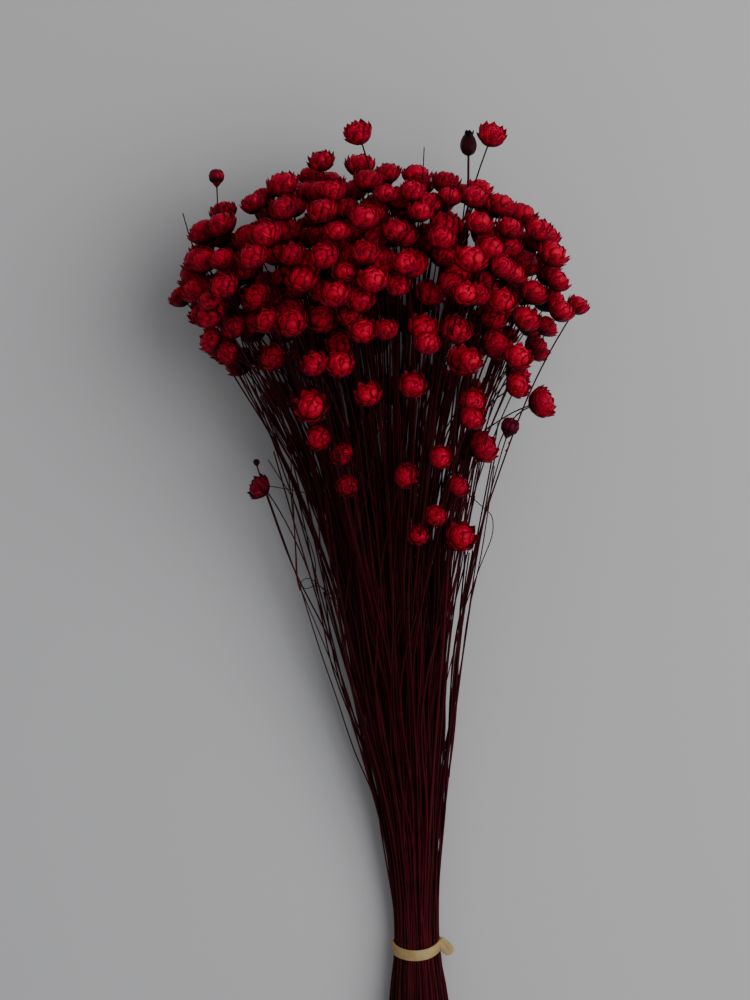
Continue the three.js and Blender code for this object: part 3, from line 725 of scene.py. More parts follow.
@dataclass(frozen=True)
class StemShape:
    """How stems are drawn through their places: round, wiry, gently waved and cut askew."""

    cut_radius: float = 0.44 * MM
    neck_radius: float = 0.33 * MM
    seat_radius: float = 0.95 * MM
    thickness_spread: float = 0.12
    steps: tuple[int, ...] = (5, 5, 9, 15)
    sides: int = 5
    lobe_spread: float = 1.5
    wave: float = 1.2 * MM
    wave_beats: tuple[float, float] = (0.8, 3.0)
    wave_sizes: tuple[float, float] = (0.3, 1.3)
    cut_slant: float = 0.8
    cut_spread: float = 1.12
    cut_turn: float = 0.4
    band_turn: float = 1.9
    seat_depth: float = 0.28
    seat_start: float = 0.3
    seat_widths: tuple[float, float] = (0.62, 1.0)
    tip_length: float = 0.6
    capsule_girth: float = 1.6
    neck_ease: float = 0.6

    SECTION_SIDE = ACROSS + 0.3 * UP

    def paths(self, places: Array, ends: Array, rng: np.random.Generator) -> tuple[Array, Array]:
        """Smooth lines through the stems' places, with a slight wave between band and neck.

        Each stretch is a cubic Hermite curve over its own length, with the slope at a place
        taken from the places on both sides of it, and at the neck from the bloom's axis. Under
        the band, which pinches them, stems slope sideways band_turn times as much as the way
        to their cut ends, and at the cut cut_turn times. The wave is a sine along the stem
        times sin(pi p), with p from 0 at the band to 1 at the neck.

        Args:
            places: The stems' places, shape (stems, places, 3).
            ends: The way each stem points at its neck, shape (stems, 3).
            rng: The source of the draws.

        Returns:
            The lines, shape (stems, samples, 3), and the shares of the length from the cut end.
        """
        gaps = np.linalg.norm(np.diff(places, axis=1), axis=2)
        run = np.concatenate([np.zeros((len(places), 1)), np.cumsum(gaps, axis=1)], axis=1)
        slopes = np.zeros_like(places)
        slopes[:, 1:-1] = (places[:, 2:] - places[:, :-2]) / (run[:, 2:] - run[:, :-2])[..., None]
        slopes[:, -1] = ends
        tied = unit(places[:, 1] - places[:, 0])
        starts = slopes.copy()
        starts[:, 0] = tied * [self.cut_turn, 1, self.cut_turn]
        stops = slopes.copy()
        stops[:, 1] = tied * [self.band_turn, 1, self.band_turn]
        stretches, runs = [], []
        for i, steps in enumerate(self.steps):
            u = (np.arange(steps) / steps)[None, :, None]
            span = gaps[:, i, None, None]
            start, stop = places[:, i, None], places[:, i + 1, None]
            leaving, arriving = span * starts[:, i, None], span * stops[:, i + 1, None]
            stretches.append(hermite(u, start, leaving, stop, arriving))
            runs.append(run[:, i, None] + u[..., 0] * gaps[:, i, None])
        line = np.concatenate([*stretches, places[:, -1:]], axis=1)
        share = np.concatenate([*runs, run[:, -1:]], axis=1) / run[:, -1:]
        band = (run[:, 1] / run[:, -1])[:, None]
        free = np.clip((share - band) / (1 - band), 0, 1)
        for axis in (ACROSS, UP):
            phase = rng.uniform(0, TURN, (len(places), 1))
            beats = rng.uniform(*self.wave_beats, (len(places), 1))
            size = self.wave * rng.uniform(*self.wave_sizes, (len(places), 1))
            swing = size * np.sin(phase + TURN * beats * free) * np.sin(math.pi * free)
            line = line + swing[..., None] * axis
        return line, share

    def surface(
        self,
        line: Array,
        share: Array,
        seats: Array | None,
        rng: np.random.Generator,
        girth: float | Array = 1.0,
    ) -> Surface:
        """Round stems along their lines.

        A corner lies at line + r (cos a e1 + sin a e2), with e1 and e2 square to the line. The
        radius r narrows evenly from the cut end to the neck. The first ring is slanted, as cut.

        Args:
            line: The lines, shape (stems, samples, 3).
            share: The shares of the length from the cut end, shape (stems, samples).
            seats: Radii of the blooms whose bases the stems widen into, or None for bare tips.
            rng: The source of the draws.
            girth: How much thicker than usual the stems are, one for all or shape (stems, 1).

        Returns:
            One surface for all the stems.
        """
        count = len(line)
        way = unit(np.gradient(line, axis=1))
        first, second = square_to(way, self.SECTION_SIDE)
        radius = mix(self.cut_radius, self.neck_radius, share)
        radius = girth * radius * (1 + rng.normal(0, self.thickness_spread, (count, 1)))
        if seats is not None:
            parts = self._with_seats(line, way, first, second, share, seats)
            line, way, first, second, share = parts
            widths = self.seat_radius * np.broadcast_to(self.seat_widths, (count, 2))
            radius = np.concatenate([radius, widths], axis=1)
        turn = np.arange(self.sides) * TURN / self.sides
        cosine, sine = np.cos(turn)[:, None], np.sin(turn)[:, None]
        around = cosine * first[:, :, None] + sine * second[:, :, None]
        rings = line[:, :, None] + radius[:, :, None, None] * around
        slant = self.cut_slant * rng.uniform(-1, 1, (count, 1)) * radius[:, :1] * np.cos(turn)
        rings[:, 0] += slant[..., None] * way[:, :1]
        tips = line[:, -1] + self.tip_length * radius[:, -1:] * way[:, -1]
        shade, tint = rng.uniform(0, 1, (2, count, 1, 1))
        cut = np.zeros((1, line.shape[1], 1))
        cut[0, 0, 0] = 1.0
        tone = tones(rings.shape[:3], share[..., None], shade, tint, cut)
        return tubes(rings, tips, tone, tone[:, -1, 0])

    def _with_seats(
        self, line: Array, way: Array, first: Array, second: Array, share: Array, seats: Array
    ) -> tuple[Array, ...]:
        """The lines run on into their blooms by two more rings each."""
        steps = [self.seat_start * self.seat_depth, self.seat_depth]
        more = [line[:, -1:] + (step * seats)[:, None, None] * way[:, -1:] for step in steps]
        double = [np.repeat(vectors[:, -1:], 2, axis=1) for vectors in (way, first, second)]
        return (
            np.concatenate([line, *more], axis=1),
            np.concatenate([way, double[0]], axis=1),
            np.concatenate([first, double[1]], axis=1),
            np.concatenate([second, double[2]], axis=1),
            np.concatenate([share, np.ones((len(line), 2))], axis=1),
        )


@dataclass
class Bunch:
    """All the stems that the solids give, and the pieces built on them."""

    stems: dict[str, list[Stem]]
    middle: Array
    shape: StemShape = field(default_factory=StemShape)
    filler_count: int = 180
    filler_stop: tuple[float, float] = (0.5, 0.97)
    filler_scatter: float = 1.3 * MM
    filler_neighbours: int = 8
    filler_shares: tuple[float, float] = (0.3, 0.7)
    filler_looseness: tuple[float, ...] = (1, 0.4, 0.6, 1, 1)

    @staticmethod
    def read() -> Bunch:
        """The bunch as the loaded frame holds it."""
        names = sorted(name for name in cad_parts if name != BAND_NODE)
        return Bunch({name: SolidReader(name).stems() for name in names}, band_middle())

    def dressed_places(self, stems: Sequence[Stem]) -> Array:
        """The stems' places, with those of one strand spread evenly over the strand's share.

        Below the parting, the stems stand off their common middle by lobe_spread times what
        the solid gives, which packs them side by side.

        Args:
            stems: The stems of one solid.

        Returns:
            Their places, shape (stems, places, 3).
        """
        places = np.array([stem.places for stem in stems])
        middle = places[:, :3].mean(0, keepdims=True)
        wider = [self.shape.lobe_spread, 1, self.shape.lobe_spread]
        places[:, :3] = middle + (places[:, :3] - middle) * wider
        return self.fanned(places)

    def fanned(self, places: Array) -> Array:
        """The same places with the cut ends fanned out sideways from the bundle's middle."""
        centre = self.middle[0]
        places[:, 0, 0] = centre + self.shape.cut_spread * (places[:, 0, 0] - centre)
        return places

    def add_stems(self, node: str, finish: Finish, rng: np.random.Generator) -> bpy.types.Object:
        """The round stems that stand for one solid's."""
        stems = self.stems[node]
        places = self.dressed_places(stems)
        axis = np.array([stem.axis for stem in stems])
        chord = unit(places[:, -1] - places[:, -2])
        ends = unit(mix(axis, chord, self.shape.neck_ease)) if node in STRAIGHT_NODES else axis
        line, share = self.shape.paths(places, ends, rng)
        seats = np.array([stem.radius for stem in stems])
        girth = self.shape.capsule_girth if FORM_OF_NODE.get(node) is Form.CAPSULE else 1.0
        surface = self.shape.surface(line, share, seats, rng, girth)
        return surface.piece(f"{node}_stems", finish.material())

    def add_blooms(self, node: str, finish: Finish, rng: np.random.Generator) -> bpy.types.Object:
        """The blooms that stand for one solid's."""
        form = FORM_OF_NODE.get(node, Form.OPEN)
        surface = BLOOM_OF_FORM[form].surface(self.stems[node], rng)
        return surface.piece(f"{node}_bloom", finish.material())

    def add_fillers(self, finish: Finish, rng: np.random.Generator) -> bpy.types.Object:
        """Bare stems among the others: heads lost, or stems too short to show their blooms.

        Each runs between two neighbouring stems of the solids, and stops on the way up.

        Args:
            finish: The stems' finish.
            rng: The source of the draws.

        Returns:
            One piece with all of them.
        """
        strands = [name for name in self.stems if name.startswith("strand")]
        crown = [stem for name in strands for stem in self.stems[name]]
        places = np.array([stem.places for stem in crown])
        first = rng.choice(len(places), self.filler_count, replace=False)
        apart = np.linalg.norm(places[first, None, 2] - places[None, :, 2], axis=2)
        near = np.argsort(apart, axis=1)[:, 1 : 1 + self.filler_neighbours]
        pick = rng.integers(0, self.filler_neighbours, self.filler_count)
        second = near[np.arange(self.filler_count), pick]
        share = rng.uniform(*self.filler_shares, (self.filler_count, 1, 1))
        between = mix(places[first], places[second], share)
        looseness = np.array(self.filler_looseness)[:, None]
        scatter = rng.normal(0, self.filler_scatter, between.shape) * [1, 0, 1]
        between += scatter * looseness
        stop = rng.uniform(*self.filler_stop, (self.filler_count, 1))
        between[:, -1] = mix(between[:, -2], between[:, -1], stop)
        between = self.fanned(between)
        ends = unit(between[:, -1] - between[:, -2])
        line, along = self.shape.paths(between, ends, rng)
        return self.shape.surface(line, along, None, rng).piece("bare_stems", finish.material())


@dataclass(frozen=True)
class OuterStems:
    """Bare stems side by side round the bundle, which fill the band and end in the crown.

    Each section is an ellipse across the bunch, in millimetres: its height along the bunch
    from the band, its middle across, its middle above the table, and its two half-widths.
    """

    shape: StemShape
    count: int = 90
    sections: tuple[tuple[float, ...], ...] = (
        (-88.0, 2.0, 12.4, 14.8, 10.2),
        (0.0, 0.15, 9.1, 9.85, 7.35),
        (50.0, -1.8, 11.8, 13.3, 8.8),
        (135.0, -9.5, 22.0, 30.0, 17.0),
        (236.0, -15.0, 37.0, 54.0, 30.0),
    )
    cut_scatter: float = 4.0 * MM
    stop: tuple[float, float] = (0.1, 1.0)
    turn_scatter: tuple[float, ...] = (0.12, 0.02, 0.12, 0.22, 0.3)
    depth: tuple[float, ...] = (0.2, 0.12, 0.24, 0.36, 0.4)

    def places(self, middle: Array, rng: np.random.Generator) -> Array:
        """The stems' places on the sections, an even turn apart at the band and loose elsewhere.

        A stem stands in from the ellipse by a share of its half-widths, up to depth.

        Args:
            middle: The middle of the tied bundle, on the table.
            rng: The source of the draws.

        Returns:
            The places, shape (stems, sections, 3).
        """
        along, x, z, half_x, half_z = np.array(self.sections).T * MM
        turn = TURN * (np.arange(self.count) + 0.5)[:, None] / self.count
        turn = turn + rng.normal(0, 1, (self.count, len(along))) * self.turn_scatter
        reach = 1 - rng.uniform(0, 1, (self.count, 1)) * self.depth
        sideways, up = reach * half_x * np.cos(turn), reach * half_z * np.sin(turn)
        places = np.stack([x + sideways, along + 0 * turn, z + up], axis=-1)
        places[:, 0, 1] += rng.uniform(-1, 1, self.count) * self.cut_scatter
        stop = rng.uniform(*self.stop, (self.count, 1))
        places[:, -1] = mix(places[:, -2], places[:, -1], stop)
        return middle + places

    def build(self, middle: Array, finish: Finish, rng: np.random.Generator) -> bpy.types.Object:
        """The outer stems as one piece, round the middle of the tied bundle."""
        places = self.places(middle, rng)
        ends = unit(places[:, -1] - places[:, -2])
        line, share = self.shape.paths(places, ends, rng)
        return self.shape.surface(line, share, None, rng).piece("outer_stems", finish.material())


@dataclass(frozen=True)
class LooseStems:
    """Bare stems that leave the bunch, each by the places that it passes.

    The places are in millimetres: across and along from the middle of the tied bundle, and up
    from the table.
    """

    shape: StemShape
    samples: int = 44
    girth: float = 0.85
    fine_girth: float = 0.6

    LEFT_LOOP = (
        (-35, 150, 24), (-42, 158.2, 25), (-44.8, 160.8, 25.6), (-47.6, 162.4, 26.2),
        (-50.2, 161.8, 26.8), (-51.6, 159.2, 26.8), (-49.2, 158, 26), (-44.8, 159.2, 25),
        (-35, 153, 23.6),
    )
    LEFT_RUNNER = (
        (-66.6, 201.5, 36), (-62.6, 190, 33), (-57.6, 176, 29.4), (-51.3, 157.8, 25.6),
        (-48, 146.9, 23), (-42.9, 130.8, 20.5), (-35.6, 109.6, 17), (-27.3, 84.9, 14.5),
        (-19.8, 67.3, 13), (-12.4, 40, 11.5),
    )
    LEFT_BRANCH = (
        (-51.3, 157.8, 26.4), (-45.8, 144.7, 23.6), (-39.2, 128.6, 20.6), (-31.2, 109.6, 17.4),
        (-19, 80, 14),
    )
    LEFT_CURVE = (
        (-57.4, 213, 33), (-56, 203, 32), (-54.9, 193, 31), (-54, 183, 30),
        (-53.3, 172, 28.6), (-52.6, 162, 27), (-51.2, 157.2, 25.8),
    )
    LEFT_UPRIGHT = (
        (-55.6, 214, 32), (-54.9, 200.9, 31), (-54.4, 190.7, 30), (-53.6, 174, 28.4),
        (-52.7, 161, 27), (-51.6, 157, 26.2),
    )
    LEFT_PAIR = (
        (-65.5, 214.7, 36), (-60.4, 206.7, 34), (-55.3, 198.7, 31.6), (-50.2, 185.6, 29),
        (-46.5, 176, 27), (-44.7, 167.3, 25.6), (-45.1, 160.7, 24.8), (-42.9, 152.7, 23.4),
        (-38.5, 134.5, 21), (-30, 109, 17),
    )
    LEFT_TWIG = (
        (-66, 203.1, 42), (-64.7, 203.1, 40.6), (-60, 202.4, 37), (-55.3, 201.6, 33),
        (-46, 199.5, 30),
    )
    RIGHT_BOW = (
        (20, 202, 44), (23.6, 198.7, 45), (29.3, 193.7, 44.6), (32.5, 190.8, 44),
        (33.5, 185.1, 43), (32.5, 179.6, 41.5), (30, 173.3, 40), (27.8, 167.8, 38.5),
        (24.9, 159.8, 36), (21.7, 151.4, 33.5), (17, 133, 29), (11, 108, 24),
    )
    RIGHT_BROKEN = (
        (34, 212, 44), (31.2, 191.8, 40), (28.2, 172.5, 37), (22.5, 145.5, 31),
        (19, 118, 25.5), (15.8, 92, 19.5), (14.4, 74, 15.5),
    )
    RIGHT_BROKEN_SHORT = (
        (25, 160, 34), (20.4, 128, 27), (16.4, 98, 20), (13.2, 81, 16),
    )
    RIGHT_TWIG = (
        (50.4, 239, 57), (42.2, 235.6, 55), (35.2, 231.4, 53), (27, 225.5, 50),
        (20, 218, 46),
    )
    RIGHT_THORN = (
        (40.2, 222.6, 52), (40.0, 220.4, 51.6), (38.6, 218.4, 51),
    )
    LEFT_TIP = (
        (-102.8, 323, 50), (-100.4, 314.5, 49), (-96.5, 303, 48), (-84, 270, 43),
        (-68, 233, 37), (-53, 200, 30), (-38, 165, 23),
    )
    LEFT_TIP_SHORT = (
        (-85.2, 327, 70), (-83.7, 319.6, 68), (-79, 302, 62), (-68, 265, 50),
        (-53, 220, 38), (-40, 182, 28),
    )
    MIDDLE_TIP = (
        (2.9, 350.4, 78), (2.4, 340, 77), (1, 312, 70), (-3, 270, 56),
        (-6, 230, 43), (-8, 190, 32),
    )
    CROWN_TIP = (
        (14.6, 335.6, 84), (13.6, 326, 82), (10, 300, 74), (6, 262, 58),
        (2, 225, 44),
    )

    def _line(self, places: Array) -> Array:
        """A smooth line through places: cubic Hermite curves over the chords between them."""
        run = np.append(0.0, np.cumsum(np.linalg.norm(np.diff(places, axis=0), axis=1)))
        slopes = np.gradient(places, run, axis=0)
        at = np.linspace(0, run[-1], self.samples)
        i = np.clip(np.searchsorted(run, at, side="right") - 1, 0, len(places) - 2)
        span = (run[i + 1] - run[i])[:, None]
        u = (at - run[i])[:, None] / span
        return hermite(u, places[i], span * slopes[i], places[i + 1], span * slopes[i + 1])

    def build(self, middle: Array, finish: Finish, rng: np.random.Generator) -> bpy.types.Object:
        """All the loose stems as one piece.

        Args:
            middle: The middle of the tied bundle, on the table.
            finish: The stems' finish.
            rng: The source of the draws.

        Returns:
            The piece.
        """
        fine = (self.LEFT_LOOP, self.LEFT_PAIR, self.LEFT_TWIG, self.RIGHT_BOW, self.RIGHT_THORN)
        usual = (
            self.LEFT_RUNNER, self.LEFT_BRANCH, self.LEFT_CURVE, self.LEFT_UPRIGHT, self.RIGHT_BROKEN,
            self.RIGHT_BROKEN_SHORT, self.RIGHT_TWIG, self.LEFT_TIP, self.LEFT_TIP_SHORT,
            self.MIDDLE_TIP, self.CROWN_TIP,
        )
        paths = [np.array(path, float)[::-1] for path in (*fine, *usual)]
        lines = middle + MM * np.array([self._line(path) for path in paths])
        share = np.broadcast_to(np.linspace(0.5, 1, self.samples), lines.shape[:2])
        girth = np.repeat([self.fine_girth, self.girth], [len(fine), len(usual)])[:, None]
        surface = self.shape.surface(lines, share, None, rng, girth)
        return surface.piece("loose_stems", finish.material())


# The rubber band


@dataclass(frozen=True)
class RubberBand:
    """A flat strip of rubber round the stems, with a folded tail on the right."""

    inner_x: float = 9.95 * MM
    centre_z: float = 9.11 * MM
    width: float = 4.8 * MM
    thickness: float = 1.1 * MM
    slant: float = 0.53
    drop: float = 0.5 * MM
    slant_turn: float = 3.0 * MM
    slant_middle: float = 0.6
    slant_change: float = 0.4
    ripple: float = 0.12 * MM
    tilt: float = 0.06
    corner: float = 0.4 * MM
    around: int = 160
    tail_length: float = 8.1 * MM
    tail_width: float = 5.2 * MM
    tail_depth: float = 3.0 * MM
    tail_angle: float = -0.84
    tail_square: float = 0.74
    tail_layer: float = 2.45 * MM
    tail_pinch: float = 0.55
    pinch_length: float = 4 * MM
    straight_samples: int = 14
    turn_samples: int = 12
    fold_reach: float = 0.6
    fold_depth: float = 2.75 * MM
    tail_root: tuple[float, float, float] = (10.25 * MM, 1.55 * MM, 1.3 * MM)

    def section(self, width: float, thickness: float) -> Array:
        """A flat strip's section with rounded edges: places (out, along), from the inside round."""
        flat = width / 2 - self.corner
        deep = thickness / 2 - self.corner
        turn = np.linspace(0, 0.5 * math.pi, 4)
        corners = [(deep, flat, 0.0), (-deep, flat, 0.5), (-deep, -flat, 1.0), (deep, -flat, 1.5)]
        arcs = [
            np.stack([
                x + self.corner * np.cos(turn + start * math.pi),
                y + self.corner * np.sin(turn + start * math.pi),
            ], axis=-1)
            for x, y, start in corners
        ]
        return np.concatenate(arcs)

    def _strip(
        self, path: Array, out: Array, along: Array, section: Array, closed: bool
    ) -> Surface:
        """A section carried along a path: path + out p + along q for each place (p, q) of it.

        Args:
            path: The path's places, shape (n, 3).
            out: Directions for the section's first coordinate, shape (n, 3).
            along: Directions for its second coordinate, shape (n, 3).
            section: Places of the section.
            closed: Whether the path's end meets its start.

        Returns:
            The strip's surface.
        """
        rings = path[:, None] + section[:, :1] * out[:, None] + section[:, 1:] * along[:, None]
        n, sides = rings.shape[:2]
        if not closed:
            tone = tones(rings.shape[:2], 0.5, 0.5, 0.5, 0.0)
            tips = rings[-1:].mean(1)
            return tubes(rings[None], tips, tone[None], tone[None, -1, 0])
        ring, side = np.meshgrid(np.arange(n), np.arange(sides), indexing="ij")
        after, beside = (ring + 1) % n, (side + 1) % sides
        here, there = ring * sides, after * sides
        around = [here + side, here + beside, there + beside, there + side]
        quads = np.stack(around, axis=-1).reshape(-1, 4)
        grid = np.stack([side / sides, ring / n], axis=-1).reshape(-1, 2)
        tone = tones((n * sides,), 0.5, 0.5, 0.5, 0.0)
        return Surface(rings.reshape(-1, 3), quads, np.empty((0, 3), int), tone, grid)

    def loop(self, middle: Array) -> Surface:
        """The strip round the stems: an ellipse that leans towards the cut ends on top and left.

        Along the bunch it lies at tilt x - slant z (m + c tanh(z / slant_turn)) - drop, less slanted
        underneath than on top, with m and c the slant's middle and its change.

        Args:
            middle: The middle of the tied bundle, on the table.

        Returns:
            Its surface.
        """
        angle = np.arange(self.around) * TURN / self.around
        half_x = self.inner_x + self.thickness / 2
        half_z = self.centre_z - self.thickness / 2
        x, z = half_x * np.cos(angle), half_z * np.sin(angle)
        ripple = self.ripple * np.sin(3 * angle + 0.7) * (np.sin(angle) > -0.5)
        share = self.slant_middle + self.slant_change * np.tanh(z / self.slant_turn)
        lean = self.tilt * x - self.slant * z * share
        path = middle + np.stack([x, lean + ripple - self.drop, z + self.centre_z], axis=-1)
        out = unit(np.stack([np.cos(angle) / half_x, 0 * angle, np.sin(angle) / half_z], axis=-1))
        along = np.broadcast_to(ALONG, out.shape)
        return self._strip(path, out, along, self.section(self.width, self.thickness), True)

    def tail(self, middle: Array) -> Surface:
        """The folded tail: a strip on edge that runs out, turns back round and comes home."""
        gap = self.tail_width / 2 - self.tail_layer / 2
        length = self.tail_length - self.tail_width / 2
        straight = np.linspace(0, length, self.straight_samples)
        turn = np.linspace(-0.5 * math.pi, 0.5 * math.pi, self.turn_samples)[1:-1]
        end = gap * np.cos(turn) ** self.tail_square
        rise = gap * np.sign(turn) * np.abs(np.sin(turn)) ** self.tail_square
        u = np.concatenate([straight, straight[-1] + end, straight[::-1]])
        pinch = mix(self.tail_pinch, 1, np.clip(u / self.pinch_length, 0, 1))
        beside = np.full(self.straight_samples, gap)
        v = np.concatenate([-beside, rise, beside]) * pinch
        way = np.array([math.cos(self.tail_angle), math.sin(self.tail_angle), 0.0])
        side = np.cross(UP, way)
        root = middle + np.array(self.tail_root) + self.centre_z * UP
        path = root + u[:, None] * way + v[:, None] * side
        fold = self.tail_width - self.tail_layer
        inner = root + np.append(straight, straight[-1] + self.fold_reach * gap)[:, None] * way
        return Surface.joined([
            self._on_edge(path, self.section(self.tail_depth, self.tail_layer)),
            self._on_edge(inner, self.section(self.fold_depth, fold)),
        ])

    def _on_edge(self, path: Array, section: Array) -> Surface:
        """A strip that stands on its edge along a level path."""
        out = np.cross(unit(np.gradient(path, axis=0)), UP)
        return self._strip(path, out, np.broadcast_to(UP, out.shape), section, False)

    def build(self, middle: Array, finish: Finish) -> bpy.types.Object:
        """The band as one piece, round the middle of the tied bundle."""
        surface = Surface.joined([self.loop(middle), self.tail(middle)])
        return surface.piece("rubber_band_strip", finish.material())


# Finishes


@dataclass
class Shader:
    """A material's node tree, built a node at a time."""

    name: str
    material: bpy.types.Material = field(init=False)
    surface: bpy.types.Node = field(init=False)

    def __post_init__(self) -> None:
        """Starts the material from its own Principled node."""
        self.material = bpy.data.materials.new(self.name)
        self.material.use_nodes = True
        self.surface = self.material.node_tree.nodes["Principled BSDF"]

    def node(self, kind: str, **values: object) -> bpy.types.Node:
        """A new node of a kind, with its properties set."""
        made = self.material.node_tree.nodes.new(kind)
        for name, value in values.items():
            setattr(made, name, value)
        return made

    def link(self, source: bpy.types.NodeSocket, target: bpy.types.NodeSocket) -> None:
        """Joins an output to an input."""
        self.material.node_tree.links.new(source, target)

    def tone(self) -> tuple[bpy.types.NodeSocket, ...]:
        """The four channels of the tone attribute."""
        attribute = self.node("ShaderNodeAttribute", attribute_name="tone")
        split = self.node("ShaderNodeSeparateColor")
        self.link(attribute.outputs["Color"], split.inputs[0])
        return (*split.outputs[:3], attribute.outputs["Alpha"])

    def across(self) -> tuple[bpy.types.NodeSocket, bpy.types.NodeSocket]:
        """The two coordinates of the piece's own grid."""
        grid = self.node("ShaderNodeUVMap", uv_map="grid")
        split = self.node("ShaderNodeSeparateXYZ")
        self.link(grid.outputs["UV"], split.inputs[0])
        return split.outputs["X"], split.outputs["Y"]

    def math(
        self, operation: str, a: object, b: object = 0.0, clamp: bool = False
    ) -> bpy.types.NodeSocket:
        """A Math node on two sockets or numbers."""
        made = self.node("ShaderNodeMath", operation=operation, use_clamp=clamp)
        for socket, value in zip(made.inputs, (a, b)):
            if isinstance(value, bpy.types.NodeSocket):
                self.link(value, socket)
            else:
                socket.default_value = value
        return made.outputs[0]

    def linear(self, value: object, slope: float, base: float) -> bpy.types.NodeSocket:
        """A value times a slope, plus a base."""
        return self.math("ADD", self.math("MULTIPLY", value, slope), base)

    def noise(self, scale: float, detail: float = 3.0) -> bpy.types.NodeSocket:
        """Fine noise over the object's own coordinates."""
        place = self.node("ShaderNodeTexCoord")
        made = self.node("ShaderNodeTexNoise")
        made.inputs["Scale"].default_value = scale
        made.inputs["Detail"].default_value = detail
        self.link(place.outputs["Object"], made.inputs["Vector"])
        return made.outputs["Fac"]

    def ramp(
        self, factor: bpy.types.NodeSocket, stops: Sequence[tuple[float, Colour]]
    ) -> bpy.types.NodeSocket:
        """A colour that runs through stops as the factor goes from 0 to 1."""
        made = self.node("ShaderNodeValToRGB")
        elements = made.color_ramp.elements
        while len(elements) < len(stops):
            elements.new(1.0)
        for element, (position, colour) in zip(elements, stops):
            element.position = position
            element.color = (*colour, 1.0)
        self.link(factor, made.inputs["Fac"])
        return made.outputs["Color"]

    def blend(self, factor: object, a: object, b: object) -> bpy.types.NodeSocket:
        """Two colours mixed by a factor."""
        made = self.node("ShaderNodeMix", data_type="RGBA", blend_type="MIX")
        sockets = (made.inputs["Factor"], made.inputs[6], made.inputs[7])
        for socket, value in zip(sockets, (factor, a, b)):
            if isinstance(value, bpy.types.NodeSocket):
                self.link(value, socket)
            elif isinstance(value, tuple):
                socket.default_value = (*value, 1.0)
            else:
                socket.default_value = value
        return made.outputs[2]

    def scaled(
        self, colour: bpy.types.NodeSocket, factor: bpy.types.NodeSocket
    ) -> bpy.types.NodeSocket:
        """A colour made lighter or darker by a factor about 1."""
        made = self.node("ShaderNodeVectorMath", operation="SCALE")
        self.link(colour, made.inputs[0])
        self.link(factor, made.inputs["Scale"])
        return made.outputs[0]

    def finish(
        self, colour: bpy.types.NodeSocket, rough: object, height: object, depth: float
    ) -> None:
        """Sets the surface's colour, roughness and relief.

        Args:
            colour: The base colour.
            rough: A roughness, or a socket that gives it.
            height: The socket that gives the relief's height, from 0 to 1.
            depth: The relief's depth in metres.
        """
        self.link(colour, self.surface.inputs["Base Color"])
        if isinstance(rough, bpy.types.NodeSocket):
            self.link(rough, self.surface.inputs["Roughness"])
        else:
            self.surface.inputs["Roughness"].default_value = rough
        bump = self.node("ShaderNodeBump")
        bump.inputs["Strength"].default_value = 1.0
        bump.inputs["Distance"].default_value = depth
        self.link(height, bump.inputs["Height"])
        self.link(bump.outputs["Normal"], self.surface.inputs["Normal"])


@dataclass(frozen=True)
class Finish:
    """A finish that makes its material once and hands it out again."""

    name: str

    def material(self) -> bpy.types.Material:
        """The finish's material."""
        return bpy.data.materials.get(self.name) or self.make()

    def make(self) -> bpy.types.Material:
        """Builds the material."""
        raise NotImplementedError


